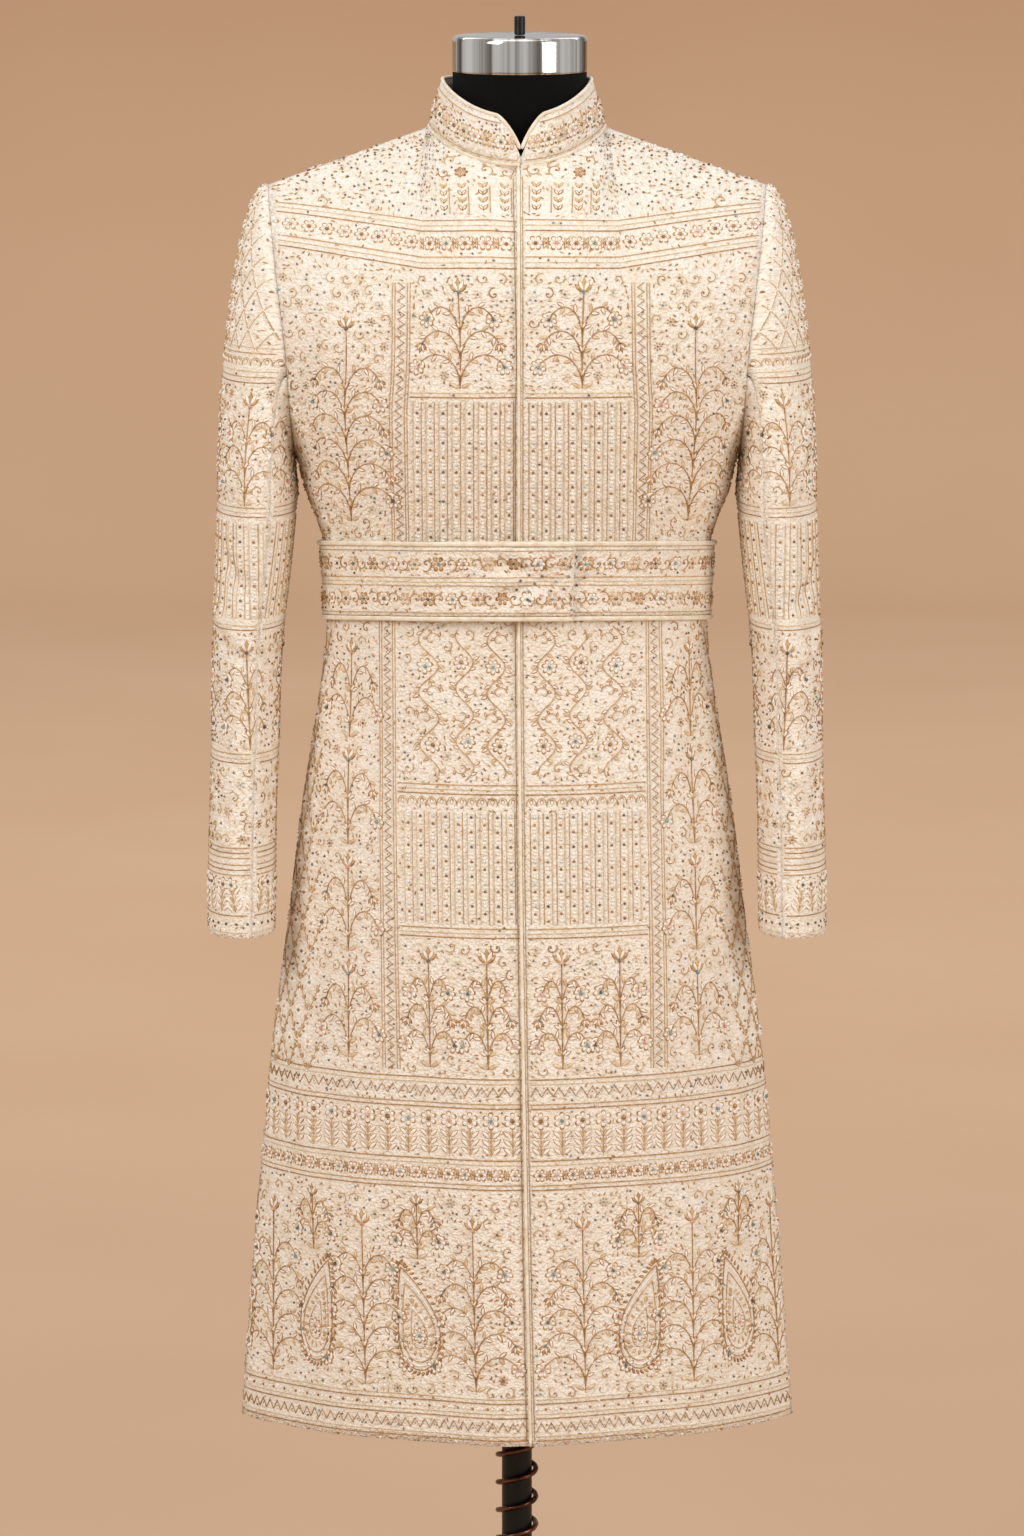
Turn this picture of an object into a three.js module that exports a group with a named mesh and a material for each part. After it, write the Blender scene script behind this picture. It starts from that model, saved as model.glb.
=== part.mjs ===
// A knee-length sherwani coat with its belt, on a limbless dress form with a pole stand.
// Millimetres. +Z is up, the coat's front faces -Y and the wearer's left side is at +X.
// The origin is on the floor, at the centre of the stand's base.
import * as THREE from "three";

// ---------------------------------------------------------------- driving dimensions

const CLOTH = 2.2; // embroidered silk on its backing
const SEAM_GAP = 0.5; // between two pieces that are sewn together
const ARMHOLE_GAP = 0.9; // between a panel's armhole edge and the sleeve

const HEM_Z = 372;
const SLIT_Z = 760; // the side seams are open below this
const SLIT_OPENING = 7; // width of the slit at the hem
const ARMPIT_Z = 1240;
const YOKE_Z = 1290; // above this the rows of a panel rise to the neckline and shoulder

// Horizontal sections of the closed coat: half width, depth in front of and behind the side
// seams, and the power of the superellipse that joins them (2 is an ellipse, less is a lens).
// Above the armpit the width runs on past the armhole, which cuts it off.
const BODY = [
  { z: 372, width: 247, front: 142, back: 150, power: 1.45 },
  { z: 493, width: 238, front: 139, back: 147, power: 1.52 },
  { z: 602, width: 228.5, front: 136, back: 144, power: 1.6 },
  { z: 711, width: 218, front: 132, back: 140, power: 1.7 },
  { z: 820, width: 203.5, front: 127, back: 135, power: 1.8 },
  { z: 928, width: 190, front: 120, back: 127, power: 1.92 },
  { z: 1036, width: 173, front: 112, back: 115, power: 2.02 },
  { z: 1092, width: 167.5, front: 108, back: 107, power: 2.08 },
  { z: 1133, width: 168, front: 108, back: 105, power: 2.1 },
  { z: 1166, width: 172, front: 111, back: 108, power: 2.12 },
  { z: 1214, width: 189, front: 120, back: 116, power: 2.15 },
  { z: 1240, width: 196, front: 124, back: 120, power: 2.2 },
  { z: 1272, width: 214, front: 127, back: 124, power: 2.2 },
  { z: 1300, width: 226, front: 129, back: 127, power: 2.2 },
  { z: 1339, width: 239, front: 130, back: 130, power: 2.2 },
  { z: 1411, width: 256, front: 127, back: 132, power: 2.2 },
  { z: 1476, width: 263, front: 127, back: 130, power: 2.2 },
  { z: 1530, width: 266, front: 127, back: 128, power: 2.2 },
];

// Half width across the armhole seams.
const ARMHOLE = [
  { z: 1240, x: 196 },
  { z: 1272, x: 198.5 },
  { z: 1339, x: 203 },
  { z: 1411, x: 212 },
  { z: 1476, x: 219 },
];

// The shoulder ridge falls from the neck to the armhole, and the cloth rolls over it: full
// depth is reached one reach below the ridge. Inside the neck the ridge runs on to a peak,
// which the neckline cuts off.
const SHOULDER = { neckX: 80, neckZ: 1526, fall: 0.36 };
const ROLL = {
  front: { reach: 160, power: 1.7, peak: 14.4 },
  back: { reach: 150, power: 2, peak: 26 },
};
const TIP_X = 219; // where the shoulder seam meets the sleeve
const NECK = { halfWidth: 78, front: 75, back: 74 }; // the neckline is an ellipse from above
const NECK_SHARE = 0.36; // share of a panel's columns that end on the neckline

// The wearer's left front laps over the right one. Its edge drifts sideways below the belt.
const CLOSING = { x: 3.5, drift: 10.5, from: 1105, underlap: 30 };
const LAP_STEP = 3.6; // how far the under front lies inside the outer surface
const LAP_RAMP = { start: 30, full: 8 }; // distances before the edge where the step is taken

// Soft flutes of the skirt: place across (share of the half width), spread, depth outward,
// and the height where each fades out.
const FLUTES = [
  { side: "front", across: -0.66, spread: 0.13, depth: 6, top: 1010 },
  { side: "front", across: -0.3, spread: 0.12, depth: -3.5, top: 900 },
  { side: "front", across: 0.36, spread: 0.14, depth: -3, top: 930 },
  { side: "front", across: 0.7, spread: 0.12, depth: 5, top: 1000 },
  { side: "back", across: -0.7, spread: 0.13, depth: 8, top: 1040 },
  { side: "back", across: -0.36, spread: 0.12, depth: -6, top: 980 },
  { side: "back", across: 0.02, spread: 0.14, depth: 6, top: 1000 },
  { side: "back", across: 0.38, spread: 0.11, depth: -7, top: 1010 },
  { side: "back", across: 0.69, spread: 0.14, depth: 7, top: 1020 },
];

// Sections of a sleeve from the upper arm to the cuff: centre and half sizes.
const SLEEVE = [
  { z: 817, x: 244.4, y: -34.6, halfWidth: 29.3, halfDepth: 49 },
  { z: 874, x: 243.8, y: -28, halfWidth: 29.4, halfDepth: 53 },
  { z: 928, x: 242.8, y: -22, halfWidth: 29, halfDepth: 57 },
  { z: 982, x: 241, y: -16, halfWidth: 29.5, halfDepth: 61 },
  { z: 1063, x: 239, y: -10, halfWidth: 30.2, halfDepth: 66 },
  { z: 1143, x: 233.2, y: -6, halfWidth: 33, halfDepth: 72 },
  { z: 1203, x: 229.2, y: -4, halfWidth: 35, halfDepth: 76 },
];
const UPPER_ARM_Z = 1203;
const CUFF_Z = 817;
// Reach of the sleeve cap: how strongly it leaves the armhole and runs into the arm, at the
// shoulder tip and at the armpit, and how far the head stands up (its rope).
const CAP = { outTip: 76, outPit: 8, downTip: 330, downPit: 40, rope: 24 };
const UNDER_SLEEVE_FROM = (112 * Math.PI) / 180; // the sleeve's two seams, from the shoulder
const SLEEVE_SEAM_TURN = 0.006; // half the gap at a sleeve seam, as an angle

const COLLAR = { height: 39, frontHeight: 4, cornerReach: 25, cornerPower: 1.5 };
const COLLAR_LEAN = { front: 7.5, side: 11.5, back: 5 }; // how far its edge is inside its foot
const COLLAR_FOOT_GAP = 1.6; // above the curved neckline, whose panels run in short straights
const COLLAR_END_GAP = 1.2;
const COLLAR_CORD = 2; // radius of the cord on the collar's edge
const EDGE_CORD = 1.9; // radius of the cord down the closing edge
const EDGE_CORD_SINK = 0.5; // its centre lies this far inside the coat's outer surface

const BELT = { z: 1126, tilt: 12, height: 61, cloth: 2.6, gap: 2.6, start: -0.35, overlap: 0.62 };
const BELT_CORD = 2.1;
const BELT_LIFT = 2 * BELT_CORD + 0.8; // the outer end lies this much further out

// Horizontal sections of the padded dress form, and its neck.
const FORM = [
  { z: 760, width: 146, front: 88, back: 96, power: 2.2 },
  { z: 800, width: 162, front: 100, back: 110, power: 2.2 },
  { z: 870, width: 172, front: 107, back: 119, power: 2.2 },
  { z: 950, width: 172, front: 108, back: 117, power: 2.2 },
  { z: 1060, width: 157, front: 99, back: 101, power: 2.2 },
  { z: 1133, width: 155, front: 96, back: 93, power: 2.2 },
  { z: 1214, width: 174, front: 108, back: 103, power: 2.25 },
  { z: 1300, width: 190, front: 118, back: 117, power: 2.5 },
  { z: 1400, width: 200, front: 120, back: 122, power: 2.8 },
  { z: 1500, width: 204, front: 120, back: 122, power: 2.8 },
];
const FORM_CLEARANCE = 8; // from the coat's outer surface to the form
const FORM_TOP_Z = 1575;
const FORM_NECK = 59; // radius

const NECK_CAP = { radius: 59.5, top: 1607, bevel: 2.5 };
const NECK_CENTRE_X = 2.4; // the form leans this much to the wearer's left
const FINIAL = { radius: 4.8, top: 1624 };
const POLE = { radius: 13.5, bottom: 46 };
const SPIRAL = { wire: 2.5, radius: 17, pitch: 25.5, bottom: 66, turns: 20 };
const BASE = { radius: 190, rim: 12, dome: 22, hub: 26, hubTop: 45.5 };
const REST_GAP = 0.3; // between two hard pieces that touch

// ---------------------------------------------------------------- small helpers

const clamp = (value, low, high) => Math.min(Math.max(value, low), high);
const lerp = THREE.MathUtils.lerp;
const smooth = (value) => THREE.MathUtils.smoothstep(value, 0, 1);
const range = (count) => Array.from({ length: count }, (_, index) => index);
const facing = (side) => (side === "front" ? -1 : 1);

// Cubic from one value to another with the given slopes at its ends.
function hermite(from, to, slopeFrom, slopeTo, share) {
  const rest = 1 - share;
  return (
    from * rest * rest * (1 + 2 * share) +
    slopeFrom * rest * rest * share +
    to * share * share * (3 - 2 * share) -
    slopeTo * share * share * rest
  );
}

// Smooth value of a table's column at height z. The rows go up in z.
function readTable(table, name, z) {
  const last = table.length - 1;
  const row = (index) => table[clamp(index, 0, last)];
  const slope = (index) =>
    (row(index + 1)[name] - row(index - 1)[name]) / (row(index + 1).z - row(index - 1).z);
  let index = 0;
  while (index < last - 1 && table[index + 1].z < z) index += 1;
  const span = row(index + 1).z - row(index).z;
  const share = clamp((z - row(index).z) / span, 0, 1);
  const from = row(index)[name];
  const to = row(index + 1)[name];
  return hermite(from, to, slope(index) * span, slope(index + 1) * span, share);
}

// Depth of a superellipse section of the table, at x.
function sectionDepth(table, x, z, side) {
  const power = readTable(table, "power", z);
  const across = Math.min(Math.abs(x) / readTable(table, "width", z), 1);
  return readTable(table, side, z) * (1 - across ** power) ** (1 / power);
}

// ---------------------------------------------------------------- solids from points

function geometryFrom(points, triangles) {
  const geometry = new THREE.BufferGeometry();
  const numbers = points.flatMap((point) => [point.x, point.y, point.z]);
  geometry.setAttribute("position", new THREE.Float32BufferAttribute(numbers, 3));
  geometry.setIndex(triangles.flat());
  geometry.computeVertexNormals();
  return geometry;
}

// Two triangles of a four-sided facet.
const facet = (a, b, c, d) => [a, b, c, a, c, d];

// Outward direction of the grid at a place: columns run right and rows run up, seen from outside.
function gridNormal(grid, r, c) {
  const rows = grid.length - 1;
  const columns = grid[0].length - 1;
  const along = grid[r][Math.min(c + 1, columns)].clone().sub(grid[r][Math.max(c - 1, 0)]);
  const up = grid[Math.min(r + 1, rows)][c].clone().sub(grid[Math.max(r - 1, 0)][c]);
  return along.cross(up).normalize();
}

// The grid moved along its own normals. Columns of the margin only serve the normals of the
// columns beside them.
function offsetGrid(grid, distance, margin = 0) {
  const moved = grid.map((line, r) =>
    line.map((point, c) => point.clone().addScaledVector(gridNormal(grid, r, c), distance)),
  );
  return moved.map((line) => line.slice(margin, line.length - margin));
}

// A closed wall of cloth. The grid is its outer face, without the margin; `keep` moves a point
// that would cross into the neighbouring piece back to its own side of the seam.
function wall(grid, thickness, { keep = (point) => point, margin = 0 } = {}) {
  const outer = offsetGrid(grid, 0, margin);
  const rows = outer.length;
  const columns = outer[0].length;
  const points = [...outer.flat(), ...offsetGrid(grid, -thickness, margin).flat()].map(keep);
  const outside = (r, c) => r * columns + c;
  const inside = (r, c) => rows * columns + r * columns + c;
  const triangles = [];
  for (let r = 0; r < rows - 1; r += 1) {
    for (let c = 0; c < columns - 1; c += 1) {
      const face = [[r, c], [r, c + 1], [r + 1, c + 1], [r + 1, c]];
      triangles.push(facet(...face.map((place) => outside(...place))));
      triangles.push(facet(...face.reverse().map((place) => inside(...place))));
    }
    triangles.push(facet(outside(r, 0), outside(r + 1, 0), inside(r + 1, 0), inside(r, 0)));
    const c = columns - 1;
    triangles.push(facet(outside(r, c), inside(r, c), inside(r + 1, c), outside(r + 1, c)));
  }
  for (let c = 0; c < columns - 1; c += 1) {
    triangles.push(facet(outside(0, c), inside(0, c), inside(0, c + 1), outside(0, c + 1)));
    const r = rows - 1;
    triangles.push(facet(outside(r, c), outside(r, c + 1), inside(r, c + 1), inside(r, c)));
  }
  return geometryFrom(points, triangles);
}

// A closed solid through rings of points, each counterclockwise seen from above, going up.
function stack(rings) {
  const size = rings[0].length;
  const points = rings.flat();
  const triangles = [];
  range(rings.length - 1).forEach((r) =>
    range(size).forEach((c) => {
      const next = (c + 1) % size;
      const low = r * size;
      const high = low + size;
      triangles.push(facet(low + c, low + next, high + next, high + c));
    }),
  );
  const top = (rings.length - 1) * size;
  range(size - 2).forEach((c) => {
    triangles.push([0, c + 2, c + 1]);
    triangles.push([top, top + c + 1, top + c + 2]);
  });
  return geometryFrom(points, triangles);
}

// A round cord along points, with a section of `sides` sides turned about `up`.
function cord(path, radius, sides, up) {
  const rings = path.map((point, index) => {
    const ahead = path[Math.min(index + 1, path.length - 1)];
    const behind = path[Math.max(index - 1, 0)];
    const along = ahead.clone().sub(behind).normalize();
    const across = along.clone().cross(up).normalize();
    const other = across.clone().cross(along);
    return range(sides).map((step) => {
      const turn = (-2 * Math.PI * step) / sides;
      const offset = across.clone().multiplyScalar(Math.cos(turn) * radius);
      return point.clone().add(offset).addScaledVector(other, Math.sin(turn) * radius);
    });
  });
  return stack(rings);
}

const lathe = (profile, segments) =>
  new THREE.LatheGeometry(profile.map(([radius, z]) => new THREE.Vector2(radius, z)), segments)
    .rotateX(Math.PI / 2);

// ---------------------------------------------------------------- the coat's body surface

function ridgeZ(x, side = "front") {
  const beyond = Math.abs(x) - SHOULDER.neckX;
  if (beyond > 0) return SHOULDER.neckZ - SHOULDER.fall * beyond;
  return SHOULDER.neckZ + ROLL[side].peak * (1 - (x / SHOULDER.neckX) ** 2);
}
const TIP_Z = ridgeZ(TIP_X);

// Share of the full depth that is reached at a drop below the shoulder ridge.
function rolledShare(drop, side) {
  const { reach, power } = ROLL[side];
  const rest = 1 - clamp(drop / reach, 0, 1);
  return (1 - rest ** power) ** (1 / power);
}

// The drop below the ridge where a share of the full depth is reached.
function dropFor(share, side) {
  const { reach, power } = ROLL[side];
  return reach * (1 - (1 - share ** power) ** (1 / power));
}

// How far a flute pushes the skirt out. It fades at the side seams and towards its top.
function fluteDepth(x, z, side) {
  const across = clamp(x / readTable(BODY, "width", z), -1, 1);
  const push = (flute) => {
    const near = Math.exp(-(((across - flute.across) / flute.spread) ** 2));
    return flute.depth * near * smooth((flute.top - z) / (flute.top - HEM_Z));
  };
  const flutes = FLUTES.filter((flute) => flute.side === side);
  return flutes.reduce((sum, flute) => sum + push(flute), 0) * (1 - across ** 4);
}

const coatDepth = (x, z, side) =>
  sectionDepth(BODY, x, z, side) * rolledShare(ridgeZ(x, side) - z, side) + fluteDepth(x, z, side);

const edgeX = (z) => (z <= ARMPIT_Z ? readTable(BODY, "width", z) : readTable(ARMHOLE, "x", z));

// Columns are even in the angle of the superellipse, so that they are close together where the
// section turns. u goes from -1 at the wearer's right side to 1 at the left one.
function edgeAngle(z) {
  const ratio = Math.min(edgeX(z) / readTable(BODY, "width", z), 1);
  return Math.asin(ratio ** (readTable(BODY, "power", z) / 2));
}

function acrossAt(u, z) {
  const power = readTable(BODY, "power", z);
  const reach = Math.sin(Math.abs(u) * edgeAngle(z)) ** (2 / power);
  return Math.sign(u) * readTable(BODY, "width", z) * reach;
}

function columnAt(x, z) {
  const ratio = Math.abs(x) / readTable(BODY, "width", z);
  const angle = Math.asin(ratio ** (readTable(BODY, "power", z) / 2));
  return (Math.sign(x) * angle) / edgeAngle(z);
}

// The top line of a panel: the neckline, then the shoulder seam.
function topLine(u, side) {
  const share = Math.abs(u) / NECK_SHARE;
  if (share < 1) {
    const turn = (share * Math.PI) / 2;
    const x = NECK.halfWidth * Math.sin(turn);
    const full = sectionDepth(BODY, x, SHOULDER.neckZ, side);
    const drop = dropFor((NECK[side] * Math.cos(turn)) / full, side);
    return { x: Math.sign(u) * x, z: ridgeZ(x, side) - drop };
  }
  const x = lerp(NECK.halfWidth, TIP_X, (Math.abs(u) - NECK_SHARE) / (1 - NECK_SHARE));
  return { x: Math.sign(u) * x, z: ridgeZ(x) };
}

// A point of the coat's outer surface. A row is a height, or a share of the way from the yoke
// height to the top line.
function bodyPoint(u, row, side) {
  const top = topLine(u, side);
  const z = lerp(row.z, top.z, row.rise);
  const x = acrossAt(u, z) + (top.x - acrossAt(u, top.z)) * row.rise ** 2;
  return new THREE.Vector3(x, facing(side) * coatDepth(x, z, side), z);
}

const PANEL_HEIGHTS = [
  HEM_Z, 460, 560, 660, SLIT_Z, 850, 930, 1000, 1055, 1095, 1133, 1168, 1205, ARMPIT_Z, 1254, YOKE_Z,
];
const PANEL_RISES = [0.22, 0.42, 0.6, 0.75, 0.87, 0.95, 1];
const PANEL_ROWS = [
  ...PANEL_HEIGHTS.map((z) => ({ z, rise: 0 })),
  ...PANEL_RISES.map((rise) => ({ z: YOKE_Z, rise })),
];

function panelGrid(side, columns, fromU, toU) {
  return PANEL_ROWS.map((row) => {
    const z = lerp(row.z, topLine(0, side).z, row.rise);
    return range(columns + 1).map((column) =>
      bodyPoint(lerp(fromU(z), toU(z), column / columns), row, side),
    );
  });
}

// Front and back stay on their own sides of the side and shoulder seams, further apart in the
// slits.
function keepTo(side) {
  return (point) => {
    const slit = (SLIT_OPENING * clamp((SLIT_Z - point.z) / (SLIT_Z - HEM_Z), 0, 1)) / 2;
    const least = SEAM_GAP / 2 + slit;
    const y = facing(side) * Math.max(facing(side) * point.y, least);
    return new THREE.Vector3(point.x, y, point.z);
  };
}

const mirrorX = (grid) =>
  grid.map((line) => line.map((point) => new THREE.Vector3(-point.x, point.y, point.z)).reverse());

// ---------------------------------------------------------------- fronts and back

const closingX = (z) =>
  CLOSING.x + CLOSING.drift * clamp((CLOSING.from - z) / (CLOSING.from - HEM_Z), 0, 1) ** 1.5;

const frontLeftGrid = panelGrid("front", 11, (z) => columnAt(closingX(z), z), () => 1);
const frontLeft = () => wall(frontLeftGrid, CLOTH, { keep: keepTo("front") });

// The under front steps inward before it passes under the other one.
function frontRight() {
  const underlap = (z) => columnAt(closingX(z) + CLOSING.underlap, z);
  const grid = panelGrid("front", 13, () => -1, underlap);
  const moved = grid.map((line, r) =>
    line.map((point, c) => {
      const toEdge = closingX(point.z) - point.x;
      const share = (LAP_RAMP.start - toEdge) / (LAP_RAMP.start - LAP_RAMP.full);
      return point.clone().addScaledVector(gridNormal(grid, r, c), -LAP_STEP * smooth(share));
    }),
  );
  return wall(moved, CLOTH, { keep: keepTo("front") });
}

function back() {
  const grid = panelGrid("back", 20, () => 1, () => -1);
  return wall(grid, CLOTH, { keep: keepTo("back") });
}

function frontPiping() {
  const aside = new THREE.Vector3(-EDGE_CORD - SEAM_GAP, 0, 0);
  const path = offsetGrid(frontLeftGrid, -EDGE_CORD_SINK).map((line) => line[0].add(aside));
  return cord(path, EDGE_CORD, 6, new THREE.Vector3(1, 0, 0));
}

// ---------------------------------------------------------------- sleeves

// The armhole seam: turn 0 at the shoulder tip, a quarter at the front, a half at the armpit.
function armholePoint(turn) {
  const side = Math.sin(turn) >= 0 ? "front" : "back";
  const z = lerp(ARMPIT_Z, TIP_Z, (1 + Math.cos(turn)) / 2);
  const x = readTable(ARMHOLE, "x", z);
  return new THREE.Vector3(x + ARMHOLE_GAP, facing(side) * coatDepth(x, z, side), z);
}

function armPoint(turn, z) {
  const x = readTable(SLEEVE, "x", z) + readTable(SLEEVE, "halfWidth", z) * Math.cos(turn);
  const y = readTable(SLEEVE, "y", z) - readTable(SLEEVE, "halfDepth", z) * Math.sin(turn);
  return new THREE.Vector3(x, y, z);
}

// The cap leaves the armhole outward and turns down into the arm.
function capPoint(turn, share) {
  const from = armholePoint(turn);
  const to = armPoint(turn, UPPER_ARM_Z);
  const high = (1 + Math.cos(turn)) / 2;
  const rope = CAP.rope * Math.max(Math.cos(turn), 0);
  const leave = new THREE.Vector3(
    lerp(CAP.outPit, CAP.outTip, high),
    -rope * Math.sin(turn),
    rope * Math.cos(turn),
  );
  const down = lerp(CAP.downPit, CAP.downTip, high);
  return new THREE.Vector3(
    hermite(from.x, to.x, leave.x, 0, share),
    hermite(from.y, to.y, leave.y, 0, share),
    hermite(from.z, to.z, leave.z, -down, share),
  );
}

const CAP_SHARES = [0, 0.1, 0.22, 0.38, 0.58, 0.8];
const ARM_HEIGHTS = [UPPER_ARM_Z, 1143, 1085, 1030, 982, 940, 895, 850, CUFF_Z];

// A piece of the sleeve between two turns, with a margin of one column at both seams.
function sleeveGrid(fromTurn, toTurn, columns) {
  const turns = range(columns + 3).map((c) => lerp(fromTurn, toTurn, (c - 1) / columns));
  const capRows = CAP_SHARES.map((share) => turns.map((turn) => capPoint(turn, share)));
  const armRows = ARM_HEIGHTS.map((z) => turns.map((turn) => armPoint(turn, z)));
  return [...capRows, ...armRows].reverse();
}

// The top sleeve covers the outside of the arm and the under sleeve the inside.
function sleevePieces() {
  const seam = UNDER_SLEEVE_FROM;
  const gap = SLEEVE_SEAM_TURN;
  const top = sleeveGrid(seam - gap, -seam + gap, 10);
  const under = sleeveGrid(2 * Math.PI - seam - gap, seam + gap, 6);
  return { top, under };
}

// ---------------------------------------------------------------- collar

const TOP_ROW = { z: YOKE_Z, rise: 1 };

// The neckline: turn 0 at the closing edge in front, a half turn at the back.
function neckline(turn) {
  const around = Math.atan2(Math.sin(turn), Math.cos(turn)) + Math.asin(CLOSING.x / NECK.halfWidth);
  const wrapped = Math.atan2(Math.sin(around), Math.cos(around));
  const side = Math.abs(wrapped) <= Math.PI / 2 ? "front" : "back";
  const quarter = side === "front" ? Math.abs(wrapped) : Math.PI - Math.abs(wrapped);
  return bodyPoint((Math.sign(wrapped) * NECK_SHARE * quarter * 2) / Math.PI, TOP_ROW, side);
}

function collarHeight(turn) {
  const reach = NECK.halfWidth * Math.abs(Math.atan2(Math.sin(turn), Math.cos(turn)));
  const rest = 1 - clamp(reach / COLLAR.cornerReach, 0, 1);
  const share = (1 - rest ** COLLAR.cornerPower) ** (1 / COLLAR.cornerPower);
  return lerp(COLLAR.frontHeight, COLLAR.height, share);
}

// A point of the band, `rise` above the neckline. The band leans in as it rises.
function collarPoint(turn, rise) {
  const foot = neckline(turn);
  const inward = new THREE.Vector3(-foot.x, -foot.y, 0).normalize();
  const middle = Math.cos(turn) > 0 ? COLLAR_LEAN.front : COLLAR_LEAN.back;
  const lean = lerp(middle, COLLAR_LEAN.side, Math.sin(turn) ** 2);
  const point = foot.addScaledVector(inward, (lean * rise) / COLLAR.height);
  return point.add(new THREE.Vector3(0, 0, rise + COLLAR_FOOT_GAP));
}

const COLLAR_STEPS = 36;
function collarTurns() {
  const gap = COLLAR_END_GAP / 2 / NECK.halfWidth;
  // Steps are closer together towards the rounded front ends.
  const ease = (share) => share - 0.09 * Math.sin(2 * Math.PI * share);
  return range(COLLAR_STEPS + 1).map((step) => {
    return lerp(gap, 2 * Math.PI - gap, ease(step / COLLAR_STEPS));
  });
}

function collar() {
  const shares = [0, 0.5, 1];
  const grid = shares.map((share) =>
    collarTurns().map((turn) => collarPoint(turn, share * collarHeight(turn))),
  );
  return wall(grid, CLOTH);
}

// The cord follows the band's edge, beside it where the edge turns down in front.
function collarPiping() {
  const edge = collarTurns().map((turn) => collarPoint(turn, collarHeight(turn)));
  const path = range(edge.length - 2).map((index) => {
    const along = edge[index + 2].clone().sub(edge[index]).normalize();
    const point = edge[index + 1].clone();
    const outward = new THREE.Vector3(point.x, point.y, 0).normalize();
    const away = outward.clone().cross(along).normalize();
    const clear = COLLAR_CORD + SEAM_GAP;
    return point.addScaledVector(outward, -CLOTH / 2).addScaledVector(away, clear);
  });
  return cord(path, COLLAR_CORD, 6, new THREE.Vector3(0, 0, 1));
}

// ---------------------------------------------------------------- belt

// A point outside the coat at the waist: turn 0 in front, a quarter at the wearer's left.
function waistPoint(turn, z, out) {
  const at = (angle) => {
    const power = 2 / readTable(BODY, "power", z);
    const side = Math.cos(angle) > 0 ? "front" : "back";
    const x = readTable(BODY, "width", z) * Math.sign(Math.sin(angle));
    const y = readTable(BODY, side, z) * facing(side);
    const reach = [Math.abs(Math.sin(angle)) ** power, Math.abs(Math.cos(angle)) ** power];
    return new THREE.Vector3(x * reach[0], y * reach[1], z);
  };
  const step = 0.03;
  const along = at(turn + step).sub(at(turn - step));
  const outward = new THREE.Vector3(along.y, -along.x, 0).normalize();
  return at(turn).addScaledVector(outward, out);
}

const BELT_STEPS = 50;
const BELT_END = BELT.start + 2 * Math.PI + BELT.overlap;
const beltTurns = () => range(BELT_STEPS + 1).map((s) => lerp(BELT.start, BELT_END, s / BELT_STEPS));

// The last stretch lies over the first one, so it climbs just before it gets there.
const beltLift = (turn) =>
  BELT_LIFT * smooth((turn - (BELT.start + 2 * Math.PI - 0.45)) / 0.4);

function beltEdge(turn, up, out) {
  const z = BELT.z + BELT.tilt * Math.cos(turn) + up;
  return waistPoint(turn, z, BELT.gap + beltLift(turn) + out);
}

function belt() {
  const levels = [-BELT.height / 2, 0, BELT.height / 2];
  const grid = levels.map((up) => beltTurns().map((turn) => beltEdge(turn, up, BELT.cloth)));
  return wall(grid, BELT.cloth);
}

function beltPiping(sign) {
  const up = sign * (BELT.height / 2 + SEAM_GAP + BELT_CORD);
  const path = beltTurns().map((turn) => beltEdge(turn, up, BELT_CORD));
  return cord(path, BELT_CORD, 6, new THREE.Vector3(0, 0, 1));
}

// ---------------------------------------------------------------- dress form and stand

// Whether a place is inside the padded form: its torso, which also keeps clear of the coat, or
// its neck.
function insideForm(x, y, z) {
  const side = y < 0 ? "front" : "back";
  const clear = FORM_CLEARANCE;
  const room = coatDepth(Math.abs(x) + clear, z + clear, side) - clear;
  const limit = Math.abs(x) + clear > edgeX(z) ? 0 : Math.min(sectionDepth(FORM, x, z, side), room);
  const inNeck = z > SHOULDER.neckZ - FORM_NECK && Math.hypot(x - NECK_CENTRE_X, y) <= FORM_NECK;
  return Math.abs(y) < limit || inNeck;
}

// Reach of the form from its axis in one direction, by halving.
function formReach(angle, z) {
  let inner = 0;
  let outer = BODY[0].width;
  for (let step = 0; step < 24; step += 1) {
    const middle = (inner + outer) / 2;
    const isInside = insideForm(middle * Math.cos(angle), middle * Math.sin(angle), z);
    if (isInside) inner = middle;
    else outer = middle;
  }
  return inner;
}

const FORM_HEIGHTS = [
  760, 775, 800, 860, 930, 1000, 1060, 1133, 1190, 1240, 1290, 1340, 1390, 1430, 1452, 1468,
  1482, 1494, 1504, 1514, 1530, FORM_TOP_Z,
];
const FORM_SIDES = 36;

function formTorso() {
  const rings = FORM_HEIGHTS.map((z) =>
    range(FORM_SIDES).map((step) => {
      const angle = (2 * Math.PI * step) / FORM_SIDES;
      const reach = formReach(angle, z);
      return new THREE.Vector3(reach * Math.cos(angle), reach * Math.sin(angle), z);
    }),
  );
  return stack(rings);
}

function neckCap() {
  const foot = FORM_TOP_Z + REST_GAP;
  const { radius, top, bevel } = NECK_CAP;
  const shape = lathe([
    [0, foot],
    [radius - 1, foot],
    [radius, foot + 1],
    [radius, top - bevel],
    [radius - 0.3 * bevel, top - 0.3 * bevel],
    [radius - bevel, top],
    [0, top],
  ], 40);
  return shape.translate(NECK_CENTRE_X, 0, 0);
}

function capFinial() {
  const foot = NECK_CAP.top + REST_GAP;
  const shape = lathe([
    [0, foot],
    [FINIAL.radius, foot],
    [FINIAL.radius, FINIAL.top - 2],
    [FINIAL.radius - 2, FINIAL.top],
    [0, FINIAL.top],
  ], 20);
  return shape.translate(NECK_CENTRE_X, 0, 0);
}

function pole() {
  const foot = POLE.bottom;
  const top = FORM_HEIGHTS[0] - REST_GAP;
  return lathe([[0, foot], [POLE.radius, foot], [POLE.radius, top], [0, top]], 24);
}

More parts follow.
